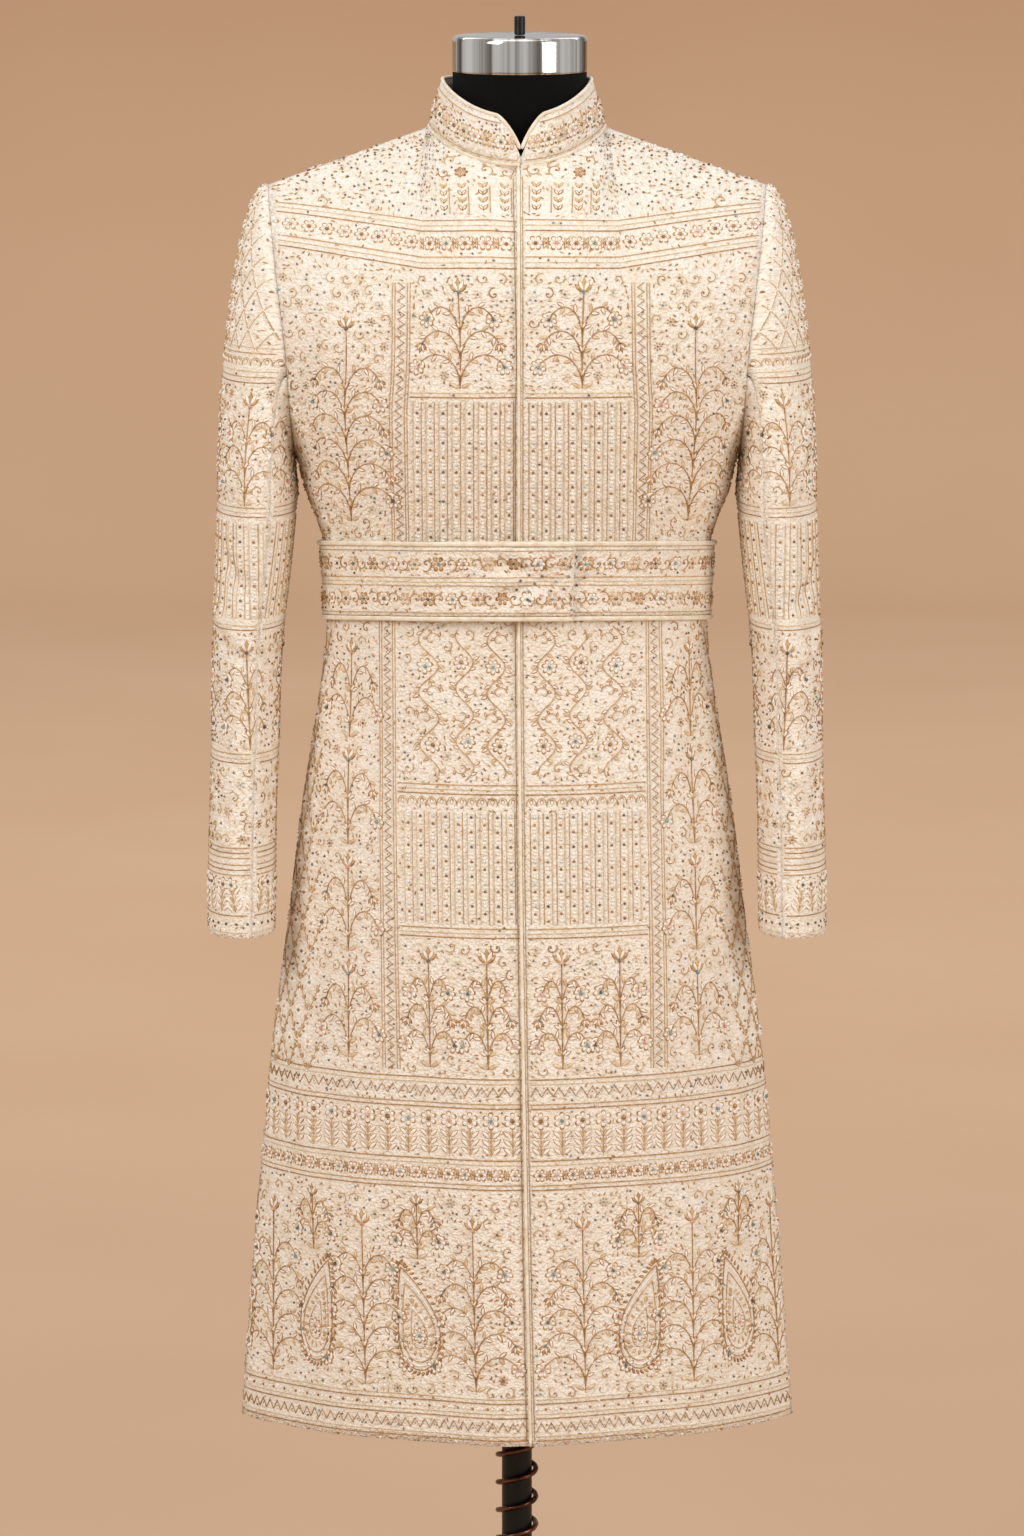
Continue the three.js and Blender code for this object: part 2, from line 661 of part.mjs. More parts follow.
// A wire wound round the pole with a little air inside it.
function poleSpiral() {
  const perTurn = 10;
  const path = range(SPIRAL.turns * perTurn + 1).map((step) => {
    const angle = (2 * Math.PI * step) / perTurn;
    const x = SPIRAL.radius * Math.cos(angle);
    const y = SPIRAL.radius * Math.sin(angle);
    return new THREE.Vector3(x, y, SPIRAL.bottom + (SPIRAL.pitch * step) / perTurn);
  });
  return cord(path, SPIRAL.wire, 5, new THREE.Vector3(0, 0, 1));
}

function base() {
  return lathe([
    [0, 0],
    [BASE.radius - 2, 0],
    [BASE.radius, 2],
    [BASE.radius, BASE.rim - 3],
    [BASE.radius - 3, BASE.rim],
    [BASE.radius * 0.55, BASE.rim + 0.7 * (BASE.dome - BASE.rim)],
    [BASE.hub + 6, BASE.dome],
    [BASE.hub, BASE.dome + 4],
    [BASE.hub - 3, BASE.hubTop],
    [0, BASE.hubTop],
  ], 48);
}

// ---------------------------------------------------------------- the object

const FINISHES = {
  silk: { color: 0xece0cc, roughness: 0.7, metalness: 0 },
  trim: { color: 0xe3d2b4, roughness: 0.6, metalness: 0 },
  jersey: { color: 0x151514, roughness: 0.85, metalness: 0 },
  chrome: { color: 0xd8d8da, roughness: 0.15, metalness: 1 },
  blackMetal: { color: 0x1a1614, roughness: 0.4, metalness: 0.6 },
  copperWire: { color: 0x8a5a3c, roughness: 0.4, metalness: 0.8 },
};

const sherwani = new THREE.Group();

function add(name, geometry, finish) {
  const mesh = new THREE.Mesh(geometry, new THREE.MeshStandardMaterial(FINISHES[finish]));
  mesh.name = name;
  sherwani.add(mesh);
}

add("front_left", frontLeft(), "silk");
add("front_right", frontRight(), "silk");
add("back", back(), "silk");
for (const [piece, grid] of Object.entries(sleevePieces())) {
  add(`sleeve_left_${piece}`, wall(grid, CLOTH, { margin: 1 }), "silk");
  add(`sleeve_right_${piece}`, wall(mirrorX(grid), CLOTH, { margin: 1 }), "silk");
}
add("collar", collar(), "silk");
add("collar_piping", collarPiping(), "trim");
add("front_piping", frontPiping(), "trim");
add("belt", belt(), "silk");
add("belt_piping_top", beltPiping(1), "trim");
add("belt_piping_bottom", beltPiping(-1), "trim");
add("form_torso", formTorso(), "jersey");
add("neck_cap", neckCap(), "chrome");
add("cap_finial", capFinial(), "blackMetal");
add("pole", pole(), "blackMetal");
add("pole_spiral", poleSpiral(), "copperWire");
add("base", base(), "blackMetal");

export default sherwani;
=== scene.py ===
"""A knee-length sherwani coat with its belt, on a limbless dress form with a pole stand.

Sizes are millimetres until a point is handed to Blender, which works in metres. +Z is up, the
coat's front faces -Y and the wearer's left side is at +X. The tables and the surface functions
are those of the CAD source, so that every piece lies where its solid is.
"""
import math

import bpy
import numpy as np
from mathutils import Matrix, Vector


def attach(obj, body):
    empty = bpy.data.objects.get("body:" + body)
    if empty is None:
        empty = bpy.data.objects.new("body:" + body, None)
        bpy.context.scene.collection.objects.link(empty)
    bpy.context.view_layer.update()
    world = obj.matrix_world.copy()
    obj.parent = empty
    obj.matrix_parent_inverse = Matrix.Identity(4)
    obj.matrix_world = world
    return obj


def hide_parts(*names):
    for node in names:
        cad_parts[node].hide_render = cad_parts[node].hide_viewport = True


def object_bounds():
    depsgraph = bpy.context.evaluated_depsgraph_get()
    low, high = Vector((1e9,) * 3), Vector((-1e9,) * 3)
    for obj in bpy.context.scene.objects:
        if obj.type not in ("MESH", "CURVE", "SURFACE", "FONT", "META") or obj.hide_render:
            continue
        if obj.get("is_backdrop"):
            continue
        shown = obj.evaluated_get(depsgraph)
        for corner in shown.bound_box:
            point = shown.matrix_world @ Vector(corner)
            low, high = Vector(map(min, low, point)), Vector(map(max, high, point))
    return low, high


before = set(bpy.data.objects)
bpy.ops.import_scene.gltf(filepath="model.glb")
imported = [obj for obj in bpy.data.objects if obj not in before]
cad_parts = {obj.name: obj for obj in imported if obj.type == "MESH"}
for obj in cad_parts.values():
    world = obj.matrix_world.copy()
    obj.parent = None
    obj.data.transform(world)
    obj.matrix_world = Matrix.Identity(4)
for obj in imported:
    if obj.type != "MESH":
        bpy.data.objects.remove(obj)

cad_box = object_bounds()
MM = 0.001

# ------------------------------------------------------------------ sizes shared with the CAD

CLOTH = 2.2
SEAM_GAP = 0.5
ARMHOLE_GAP = 0.2  # the stitched seam closes the gap between the solids
HEM_Z = 372
SLIT_Z = 760
SLIT_OPENING = 7
ARMPIT_Z = 1240
YOKE_Z = 1290


def table(columns, *rows):
    """A table as one array for each named column."""
    return dict(zip(columns.split(), np.array(rows, float).T))


BODY = table(
    "z width front back power",
    (372, 247, 142, 150, 1.45),
    (493, 238, 139, 147, 1.52),
    (602, 228.5, 136, 144, 1.6),
    (711, 218, 132, 140, 1.7),
    (820, 203.5, 127, 135, 1.8),
    (928, 190, 120, 127, 1.92),
    (1036, 173, 112, 115, 2.02),
    (1092, 167.5, 108, 107, 2.08),
    (1133, 168, 108, 105, 2.1),
    (1166, 172, 111, 108, 2.12),
    (1214, 189, 120, 116, 2.15),
    (1240, 196, 124, 120, 2.2),
    (1272, 214, 127, 124, 2.2),
    (1300, 226, 129, 127, 2.2),
    (1339, 239, 130, 130, 2.2),
    (1411, 256, 127, 132, 2.2),
    (1476, 263, 127, 130, 2.2),
    (1530, 266, 127, 128, 2.2),
)
ARMHOLE = table("z x", (1240, 196), (1272, 198.5), (1339, 203), (1411, 212), (1476, 219))
SHOULDER = {"neck_x": 80, "neck_z": 1526, "fall": 0.36}
ROLL = {
    "front": {"reach": 160, "power": 1.7, "peak": 14.4},
    "back": {"reach": 150, "power": 2, "peak": 26},
}
TIP_X = 219
NECK = {"half_width": 78, "front": 75, "back": 74}
NECK_SHARE = 0.36
CLOSING = {"x": 3.5, "drift": 10.5, "from": 1105, "underlap": 30}
LAP_STEP = 3.6
LAP_RAMP = {"start": 30, "full": 8}
FLUTES = {
    "front": table(
        "across spread depth top",
        (-0.66, 0.13, 6, 1010),
        (-0.3, 0.12, -3.5, 900),
        (0.36, 0.14, -3, 930),
        (0.7, 0.12, 5, 1000),
    ),
    "back": table(
        "across spread depth top",
        (-0.7, 0.13, 8, 1040),
        (-0.36, 0.12, -6, 980),
        (0.02, 0.14, 6, 1000),
        (0.38, 0.11, -7, 1010),
        (0.69, 0.14, 7, 1020),
    ),
}
SLEEVE = table(
    "z x y half_width half_depth",
    (817, 244.4, -34.6, 29.3, 49),
    (874, 243.8, -28, 29.4, 53),
    (928, 242.8, -22, 29, 57),
    (982, 241, -16, 29.5, 61),
    (1063, 239, -10, 30.2, 66),
    (1143, 233.2, -6, 33, 72),
    (1203, 229.2, -4, 35, 76),
)
UPPER_ARM_Z = 1203
CUFF_Z = 817
CAP = {"out_tip": 76, "out_pit": 8, "down_tip": 330, "down_pit": 40, "rope": 24}
UNDER_SLEEVE_FROM = math.radians(112)
SLEEVE_SEAM_TURN = 0.006
COLLAR = {"height": 39, "front_height": 4, "corner_reach": 25, "corner_power": 1.5}
COLLAR_LEAN = {"front": 7.5, "side": 11.5, "back": 5}
COLLAR_FOOT_GAP = 1.6
COLLAR_END_GAP = 0.4  # hooked shut, closer than the solids
COLLAR_GAP_TURN = COLLAR_END_GAP / 2 / NECK["half_width"]
COLLAR_CORD = 2
EDGE_CORD = 1.9
EDGE_CORD_SINK = 0.5
BELT = {"z": 1126, "tilt": 12, "height": 61, "cloth": 2.6, "gap": 2.6}
BELT_START = -0.35
BELT_END = BELT_START + 2 * math.pi + 0.62  # the outer end overlaps the inner one
BELT_CORD = 2.1
BELT_LIFT = 2 * BELT_CORD + 0.8
FORM = table(
    "z width front back power",
    (760, 146, 88, 96, 2.2),
    (800, 162, 100, 110, 2.2),
    (870, 172, 107, 119, 2.2),
    (950, 172, 108, 117, 2.2),
    (1060, 157, 99, 101, 2.2),
    (1133, 155, 96, 93, 2.2),
    (1214, 174, 108, 103, 2.25),
    (1300, 190, 118, 117, 2.5),
    (1400, 200, 120, 122, 2.8),
    (1500, 204, 120, 122, 2.8),
)
FORM_CLEARANCE = 8
FORM_TOP_Z = 1575
FORM_NECK = 59
NECK_CAP = {"radius": 59.5, "top": 1607, "bevel": 2.5}
NECK_CENTRE_X = 2.4
FINIAL = {"radius": 4.8, "top": 1624}
POLE = {"radius": 13.5, "bottom": 46}
SPIRAL = {"wire": 2.5, "radius": 17, "pitch": 25.5, "bottom": 66, "turns": 20}
BASE = {"radius": 190, "rim": 12, "dome": 22, "hub": 26, "hub_top": 45.5}
REST_GAP = 0.3

# ------------------------------------------------------------------ soft folds, given one by one

# Folds of a panel: place on the panel, length, spread, depth outward, lean from upright in
# degrees, and how far the middle bows sideways.
FOLD_COLUMNS = "p q length spread depth lean bow"
FRONT_FOLDS = {
    "left": table(
        FOLD_COLUMNS,
        (196, 1285, 150, 13, -3.5, 9, 8),
        (172, 1262, 110, 12, 2.4, 16, -6),
        (216, 1215, 70, 9, 2.2, -22, 4),
        (150, 1195, 46, 9, -1.8, 48, 5),
        (92, 1188, 40, 8, 1.4, -40, 4),
        (70, 1060, 120, 14, -2.4, 6, 5),
        (138, 1035, 190, 15, 3.2, 7, -8),
        (182, 1010, 230, 16, -3.5, 10, 6),
        (120, 780, 330, 20, 2.7, -3, 8),
        (205, 640, 300, 18, 3.5, 5, -9),
        (58, 560, 260, 18, -2.4, 3, 6),
        (248, 520, 240, 14, -3.2, 7, 5),
    ),
    "right": table(
        FOLD_COLUMNS,
        (204, 1290, 165, 14, -3.8, 7, 9),
        (178, 1250, 95, 11, 2.7, 18, -5),
        (220, 1205, 60, 9, 1.9, -28, 4),
        (128, 1192, 52, 9, -1.9, 38, 5),
        (66, 1190, 44, 8, 1.5, -52, 3),
        (88, 1050, 140, 15, 2.3, 4, -6),
        (150, 1020, 210, 14, -3.2, 8, 7),
        (196, 985, 180, 15, 3, 12, -6),
        (98, 730, 300, 19, -2.6, -4, 7),
        (214, 660, 330, 17, 3.8, 6, 8),
        (40, 520, 220, 16, 2.2, 2, -5),
        (232, 480, 200, 15, -3, 5, 6),
    ),
}
BACK_FOLDS = table(
    FOLD_COLUMNS,
    (-196, 1290, 150, 14, -2.8, -9, 8),
    (188, 1300, 170, 13, -2.6, 10, 7),
    (-60, 1210, 90, 12, -1.6, 62, 5),
    (48, 1195, 110, 11, 1.5, -70, 5),
    (0, 1235, 150, 16, -1.8, 84, 6),
    (-120, 1040, 170, 15, 2.4, -6, -8),
    (130, 1030, 200, 15, -2.4, 7, 7),
    (-40, 820, 330, 20, -2.2, 2, 9),
    (84, 700, 330, 19, 2.4, 3, -8),
    (-190, 600, 320, 18, 2.8, -5, 8),
    (210, 560, 280, 17, -2.6, 6, -6),
)
SLEEVE_FOLDS = {
    "left": table(
        FOLD_COLUMNS,
        (-86, 1300, 120, 12, -4.2, 6, 7),
        (-60, 1245, 70, 10, 2.8, 24, 5),
        (-58, 1120, 96, 9, -4.2, 58, 10),
        (-40, 1078, 84, 9, 3.3, 66, -8),
        (-72, 1048, 78, 8, -3.6, 74, 7),
        (-30, 1012, 66, 8, -2.8, -60, 6),
        (20, 1090, 80, 10, -3.3, -64, 8),
        (-64, 960, 70, 9, 2.4, 52, 5),
        (-52, 880, 54, 8, -2, 60, 4),
        (38, 930, 70, 10, 2.4, -48, 6),
    ),
    "right": table(
        FOLD_COLUMNS,
        (-90, 1290, 140, 13, -3.9, 4, 9),
        (-52, 1230, 64, 10, 2.7, 30, -5),
        (-66, 1140, 88, 9, -3.6, 52, 9),
        (-46, 1098, 92, 9, 3.6, 62, -9),
        (-70, 1066, 70, 8, -3.9, 70, 6),
        (-34, 1030, 74, 8, -2.7, -56, 7),
        (26, 1070, 84, 10, -3, -68, 8),
        (-58, 975, 64, 9, -2.2, 48, 5),
        (-48, 905, 60, 8, 2.2, 58, 4),
        (34, 950, 76, 10, 2.2, -50, 6),
    ),
}
# The belt's outer end is drawn together; creases fan out from there on both sides of it.
BELT_FOLDS = table(
    FOLD_COLUMNS,
    (64, 10, 66, 6, -4.2, -71, 2),
    (60, -10, 70, 6, -4, 70, -2),
    (56, 0, 80, 7, 3, 88, 1),
    (72, 20, 54, 6, 2.6, -48, 2),
    (70, -20, 52, 6, 2.8, 50, -2),
    (90, 0, 46, 7, -3.4, 4, 2),
    (-806, 9, 62, 6, 2.6, 71, 2),
    (-810, -10, 56, 6, 2.8, -68, -2),
    (-798, 0, 76, 6, -1.5, 92, 1),
    (-812, 20, 46, 6, -1.4, 50, 2),
    (-20, 6, 90, 8, 1.2, 80, 3),
    (-640, 3, 90, 9, 1.1, -80, 3),
    (-330, -4, 110, 9, -1.1, 78, 3),
    (-130, 0, 90, 9, -1.1, 84, 3),
)
NO_FOLDS = table(FOLD_COLUMNS, (0, 0, 1, 1, 0, 0, 0))

# ------------------------------------------------------------------ small helpers


def smooth(value):
    value = np.clip(value, 0, 1)
    return value * value * (3 - 2 * value)


def lerp(start, end, share):
    return start + (end - start) * share


def hermite(start, end, slope_start, slope_end, share):
    """Cubic from one value to another with the given slopes at its ends."""
    rest = 1 - share
    return (
        start * rest * rest * (1 + 2 * share)
        + slope_start * rest * rest * share
        + end * share * share * (3 - 2 * share)
        - slope_end * share * share * rest
    )


def read(rows, name, z):
    """Smooth value of a table's column at height z."""
    heights, values = rows["z"], rows[name]
    last = len(heights) - 1
    low = np.maximum(np.arange(last + 1) - 1, 0)
    high = np.minimum(np.arange(last + 1) + 1, last)
    slopes = (values[high] - values[low]) / (heights[high] - heights[low])
    index = np.clip(np.searchsorted(heights, z, side="right") - 1, 0, last - 1)
    span = heights[index + 1] - heights[index]
    share = np.clip((z - heights[index]) / span, 0, 1)
    ends = values[index], values[index + 1]
    return hermite(*ends, slopes[index] * span, slopes[index + 1] * span, share)


def facing(side):
    return -1 if side == "front" else 1


def unit(vectors):
    return vectors / np.maximum(np.linalg.norm(vectors, axis=-1, keepdims=True), 1e-9)


def run_along(points):
    """Length run along points, from 0 at the first one."""
    steps = np.linalg.norm(np.diff(points, axis=0), axis=-1)
    return np.concatenate([np.zeros((1, *steps.shape[1:])), np.cumsum(steps, axis=0)])


# ------------------------------------------------------------------ surfaces of the coat


def section_depth(rows, x, z, side):
    power = read(rows, "power", z)
    across = np.minimum(np.abs(x) / read(rows, "width", z), 1)
    return read(rows, side, z) * (1 - across**power) ** (1 / power)


def ridge_z(x, side="front"):
    """Height of the shoulder ridge, and of its peak inside the neck."""
    beyond = np.abs(x) - SHOULDER["neck_x"]
    peak = ROLL[side]["peak"] * (1 - (x / SHOULDER["neck_x"]) ** 2)
    rise = np.where(beyond > 0, -SHOULDER["fall"] * beyond, peak)
    return SHOULDER["neck_z"] + rise


def coat_depth(x, z, side):
    """Depth of the coat's outer surface, with its roll at the shoulder and its flutes."""
    roll = ROLL[side]
    rest = 1 - np.clip((ridge_z(x, side) - z) / roll["reach"], 0, 1)
    share = (1 - rest ** roll["power"]) ** (1 / roll["power"])
    across = np.clip(x / read(BODY, "width", z), -1, 1)
    flutes = FLUTES[side]
    push = 0
    for place, spread, depth, top in zip(*flutes.values()):
        near = np.exp(-(((across - place) / spread) ** 2))
        push = push + depth * near * smooth((top - z) / (top - HEM_Z))
    return section_depth(BODY, x, z, side) * share + push * (1 - across**4)


def edge_x(z):
    return np.where(z <= ARMPIT_Z, read(BODY, "width", z), read(ARMHOLE, "x", z))


def section_angle(x, z):
    """Angle of the section's superellipse at x."""
    ratio = np.minimum(np.abs(x) / read(BODY, "width", z), 1)
    return np.arcsin(ratio ** (read(BODY, "power", z) / 2))


def across_at(u, z):
    reach = np.sin(np.abs(u) * section_angle(edge_x(z), z)) ** (2 / read(BODY, "power", z))
    return np.sign(u) * read(BODY, "width", z) * reach


def column_at(x, z):
    return np.sign(x) * section_angle(x, z) / section_angle(edge_x(z), z)


def top_line(u, side):
    """The neckline, then the shoulder seam: (x, z)."""
    turn = np.minimum(np.abs(u) / NECK_SHARE, 1) * math.pi / 2
    x = NECK["half_width"] * np.sin(turn)
    full = section_depth(BODY, x, SHOULDER["neck_z"], side)
    roll = ROLL[side]
    share = NECK[side] * np.cos(turn) / full
    drop = roll["reach"] * (1 - (1 - share ** roll["power"]) ** (1 / roll["power"]))
    on_neck = x, ridge_z(x, side) - drop
    x = lerp(NECK["half_width"], TIP_X, (np.abs(u) - NECK_SHARE) / (1 - NECK_SHARE))
    is_neck = np.abs(u) < NECK_SHARE
    across = np.where(is_neck, on_neck[0], x)
    return np.sign(u) * across, np.where(is_neck, on_neck[1], ridge_z(x))


def body_point(u, z, rise, side):
    """A point of the coat's outer surface, at a height or a share of the way to its top line."""
    top_x, top_z = top_line(u, side)
    height = lerp(z, top_z, rise)
    x = across_at(u, height) + (top_x - across_at(u, top_z)) * rise**2
    return np.stack([x, facing(side) * coat_depth(x, height, side), height], axis=-1)


def closing_x(z):
    down = np.clip((CLOSING["from"] - z) / (CLOSING["from"] - HEM_Z), 0, 1)
    return CLOSING["x"] + CLOSING["drift"] * down**1.5


def armhole_point(turn):
    tip_z = ridge_z(np.float64(TIP_X))
    z = lerp(ARMPIT_Z, tip_z, (1 + np.cos(turn)) / 2)
    x = read(ARMHOLE, "x", z)
    front = np.sin(turn) >= 0
    y = np.where(front, -coat_depth(x, z, "front"), coat_depth(x, z, "back"))
    return x + ARMHOLE_GAP, y, z


def arm_point(turn, z):
    x = read(SLEEVE, "x", z) + read(SLEEVE, "half_width", z) * np.cos(turn)
    y = read(SLEEVE, "y", z) - read(SLEEVE, "half_depth", z) * np.sin(turn)
    return np.stack([x, y, z + 0 * x], axis=-1)


def cap_point(turn, share):
    """The sleeve cap leaves the armhole outward and turns down into the arm."""
    start = armhole_point(turn)
    end = arm_point(turn, UPPER_ARM_Z)
    high = (1 + np.cos(turn)) / 2
    rope = CAP["rope"] * np.maximum(np.cos(turn), 0)
    leave = lerp(CAP["out_pit"], CAP["out_tip"], high), -rope * np.sin(turn), rope * np.cos(turn)
    arrive = 0, 0, -lerp(CAP["down_pit"], CAP["down_tip"], high)
    parts = [hermite(start[i], end[..., i], leave[i], arrive[i], share) for i in range(3)]
    return np.stack(parts, axis=-1)


def neckline(turn):
    around = turn + math.asin(CLOSING["x"] / NECK["half_width"])
    wrapped = np.arctan2(np.sin(around), np.cos(around))
    front = np.abs(wrapped) <= math.pi / 2
    quarter = np.where(front, np.abs(wrapped), math.pi - np.abs(wrapped))
    u = np.sign(wrapped) * NECK_SHARE * quarter * 2 / math.pi
    points = {side: body_point(u, YOKE_Z, 1, side) for side in ("front", "back")}
    return np.where(front[..., None], points["front"], points["back"])


def collar_height(turn):
    reach = NECK["half_width"] * np.abs(np.arctan2(np.sin(turn), np.cos(turn)))
    rest = 1 - np.clip(reach / COLLAR["corner_reach"], 0, 1)
    power = COLLAR["corner_power"]
    return lerp(COLLAR["front_height"], COLLAR["height"], (1 - rest**power) ** (1 / power))


def collar_point(turn, rise):
    """A point of the band, `rise` above the neckline. The band leans in as it rises."""
    foot = neckline(turn)
    inward = unit(foot * [-1, -1, 0])
    middle = np.where(np.cos(turn) > 0, COLLAR_LEAN["front"], COLLAR_LEAN["back"])
    lean = lerp(middle, COLLAR_LEAN["side"], np.sin(turn) ** 2)
    moved = foot + inward * (lean * rise / COLLAR["height"])[..., None]
    moved[..., 2] += rise + COLLAR_FOOT_GAP
    return moved


def waist_point(turn, z, out):
    """A point outside the coat at the waist: turn 0 in front, a quarter at the wearer's left."""

    def at(angle):
        power = 2 / read(BODY, "power", z)
        depth = np.where(np.cos(angle) > 0, -read(BODY, "front", z), read(BODY, "back", z))
        x = read(BODY, "width", z) * np.sign(np.sin(angle)) * np.abs(np.sin(angle)) ** power
        return np.stack([x, depth * np.abs(np.cos(angle)) ** power, z + 0 * x], axis=-1)

    step = 0.03
    along = at(turn + step) - at(turn - step)
    outward = unit(np.stack([along[..., 1], -along[..., 0], 0 * turn], axis=-1))
    return at(turn) + outward * np.asarray(out)[..., None]


def belt_point(turn, up, out):
    lift = BELT_LIFT * smooth((turn - (BELT_START + 2 * math.pi - 0.45)) / 0.4)
    z = BELT["z"] + BELT["tilt"] * np.cos(turn) + up
    return waist_point(turn, z, BELT["gap"] + lift + out)


# ------------------------------------------------------------------ charts of the pieces


def sample(grid, row, column):
    """Values of a grid between its rows and columns."""
    r = np.clip(np.floor(row).astype(int), 0, max(grid.shape[0] - 2, 0))
    c = np.clip(np.floor(column).astype(int), 0, grid.shape[1] - 2)
    up = (row - r)[..., None]
    along = (column - c)[..., None]
    above = np.minimum(r + 1, grid.shape[0] - 1)
    low = lerp(grid[r, c], grid[r, c + 1], along)
    return lerp(low, lerp(grid[above, c], grid[above, c + 1], along), up)


def fold_height(rows, p, q):
    """How far the listed folds push a place of a panel outward."""
    total = 0 * p
    for at_p, at_q, length, spread, depth, lean, bow in zip(*rows.values()):
        turn = math.radians(lean)
        along = ((q - at_q) * math.cos(turn) + (p - at_p) * math.sin(turn)) * 2 / length
        across = (p - at_p) * math.cos(turn) - (q - at_q) * math.sin(turn) + bow * along**2
        window = np.clip(1 - along**2, 0, 1) ** 2
        total = total + depth * window * np.exp(-((across / spread) ** 2))
    return total


class Chart:
    """A piece of cloth laid flat: p runs across it and q up it, in millimetres.

    `surface(share, q, rise)` gives its points: share runs across, q is a height of its straight
    part, and rise goes from 0 to 1 over the part above it. There p keeps to the columns, and q
    is the length run up along each of them. `origin(q)` is the share where p is 0. `handed` is
    -1 where p runs left as seen from outside.
    """

    CELL = 5

    def __init__(self, surface, low, split, origin, handed=1, folds=NO_FOLDS, width=300, rise=0):
        fine = np.linspace(0, 1, 241)
        columns = max(int(width / self.CELL), 8)
        even = np.linspace(0, 1, columns + 1)
        self.low = low
        self.split = split
        self.handed = handed
        self.straight = max(int((split - low) / self.CELL), 0)
        self.upper = int(rise / self.CELL)
        rows, starts, widths = [], [], []
        for q in np.linspace(low, split, self.straight + 1):
            line = surface(fine, q, 0.0)
            run = run_along(line)
            rows.append([np.interp(even * run[-1], run, line[:, i]) for i in range(3)])
            widths.append(run[-1])
            starts.append(-np.interp(origin(q), fine, run))
            shares = np.interp(even * run[-1], run, fine)
        self.starts = np.array(starts)
        self.widths = np.array(widths)
        points = np.array(rows).transpose(0, 2, 1)
        self.climb = np.ones(columns + 1)
        if self.upper:
            rises = np.linspace(0, 1, 81)
            lines = np.stack([surface(shares, split, r) for r in rises])
            run = run_along(lines)
            self.climb = run[-1]
            steps = np.linspace(0, 1, self.upper + 1)[1:]
            top = np.empty((self.upper, columns + 1, 3))
            for c in range(columns + 1):
                for i in range(3):
                    top[:, c, i] = np.interp(steps * run[-1, c], run[:, c], lines[:, c, i])
            points = np.concatenate([points, top])
        rows = np.arange(len(points))
        level = np.minimum(rows, self.straight)
        self.p = self.starts[level][:, None] + self.widths[level][:, None] * even
        above = np.maximum(rows - self.straight, 0) / max(self.upper, 1)
        heights = np.linspace(low, split, self.straight + 1)[level]
        self.q = heights[:, None] + above[:, None] * self.climb
        near_edge = np.minimum(self.p - self.p[:, :1], self.p[:, -1:] - self.p)
        push = fold_height(folds, self.p, self.q) * smooth(near_edge / 14)
        self.points = points + self.normals_of(points) * push[..., None]
        self.normals = self.normals_of(self.points)

    def normals_of(self, points):
        along = np.gradient(points, axis=1)
        up = np.gradient(points, axis=0)
        return unit(np.cross(along, up)) * self.handed

    def grid_place(self, p, q):
        row = np.clip((q - self.low) / max(self.split - self.low, 1e-9), 0, 1) * self.straight
        levels = np.arange(self.straight + 1)
        share = (p - np.interp(row, levels, self.starts)) / np.interp(row, levels, self.widths)
        column = np.clip(share, 0, 1) * (self.points.shape[1] - 1)
        climb = np.interp(column, np.arange(len(self.climb)), self.climb)
        above = np.clip((q - self.split) / climb, 0, 1) * self.upper
        return row + above, column, share, climb

    def place(self, p, q, out):
        """Points in space for places on the chart, moved out from the cloth."""
        row, column, *_ = self.grid_place(p, q)
        normal = unit(sample(self.normals, row, column))
        return sample(self.points, row, column) + normal * np.asarray(out)[..., None]

    def inside(self, p, q, margin):
        """Whether places lie on the cloth, at least a margin from its edges."""
        row, _, share, climb = self.grid_place(p, q)
        width = np.interp(row, np.arange(self.straight + 1), self.widths)
        side = np.minimum(share, 1 - share) * width > margin
        top = self.split + (climb if self.upper else 0)
        return side & (q > self.low + margin) & (q < top - margin)

    def area(self):
        """Area of the cut, in square millimetres."""
        straight = np.trapz(self.widths, dx=(self.split - self.low) / max(self.straight, 1))
        above = self.climb.mean() * self.widths[-1] if self.upper else 0
        return straight * bool(self.straight) + above

    def length(self):
        return self.split - self.low + (self.climb.max() if self.upper else 0)


def front_chart(side):
    """The wearer's left front laps over; the right one steps in and passes under it."""
    sign = 1 if side == "left" else -1
    underlap = 0 if side == "left" else CLOSING["underlap"]

    def surface(share, q, rise):
        z = lerp(q, top_line(np.float64(0), "front")[1], rise)
        start = column_at(closing_x(z) + underlap, z)
        return body_point(lerp(start, sign, share), q, rise, "front")

    def origin(q):
        start = column_at(closing_x(q) + underlap, q)
        return (start - column_at(closing_x(q), q)) / (start - sign)

    folds = FRONT_FOLDS[side]
    chart = Chart(surface, HEM_Z, YOKE_Z, origin, sign, folds, width=300 + underlap, rise=250)
    if underlap:
        to_edge = closing_x(chart.points[..., 2]) - chart.points[..., 0]
        share = (LAP_RAMP["start"] - to_edge) / (LAP_RAMP["start"] - LAP_RAMP["full"])
        chart.points -= chart.normals * (LAP_STEP * smooth(share))[..., None]
    return chart


def back_chart():
    def surface(share, q, rise):
        return body_point(lerp(1, -1, share), q, rise, "back")

    return Chart(surface, HEM_Z, YOKE_Z, lambda q: 0.5, 1, BACK_FOLDS, width=600, rise=250)


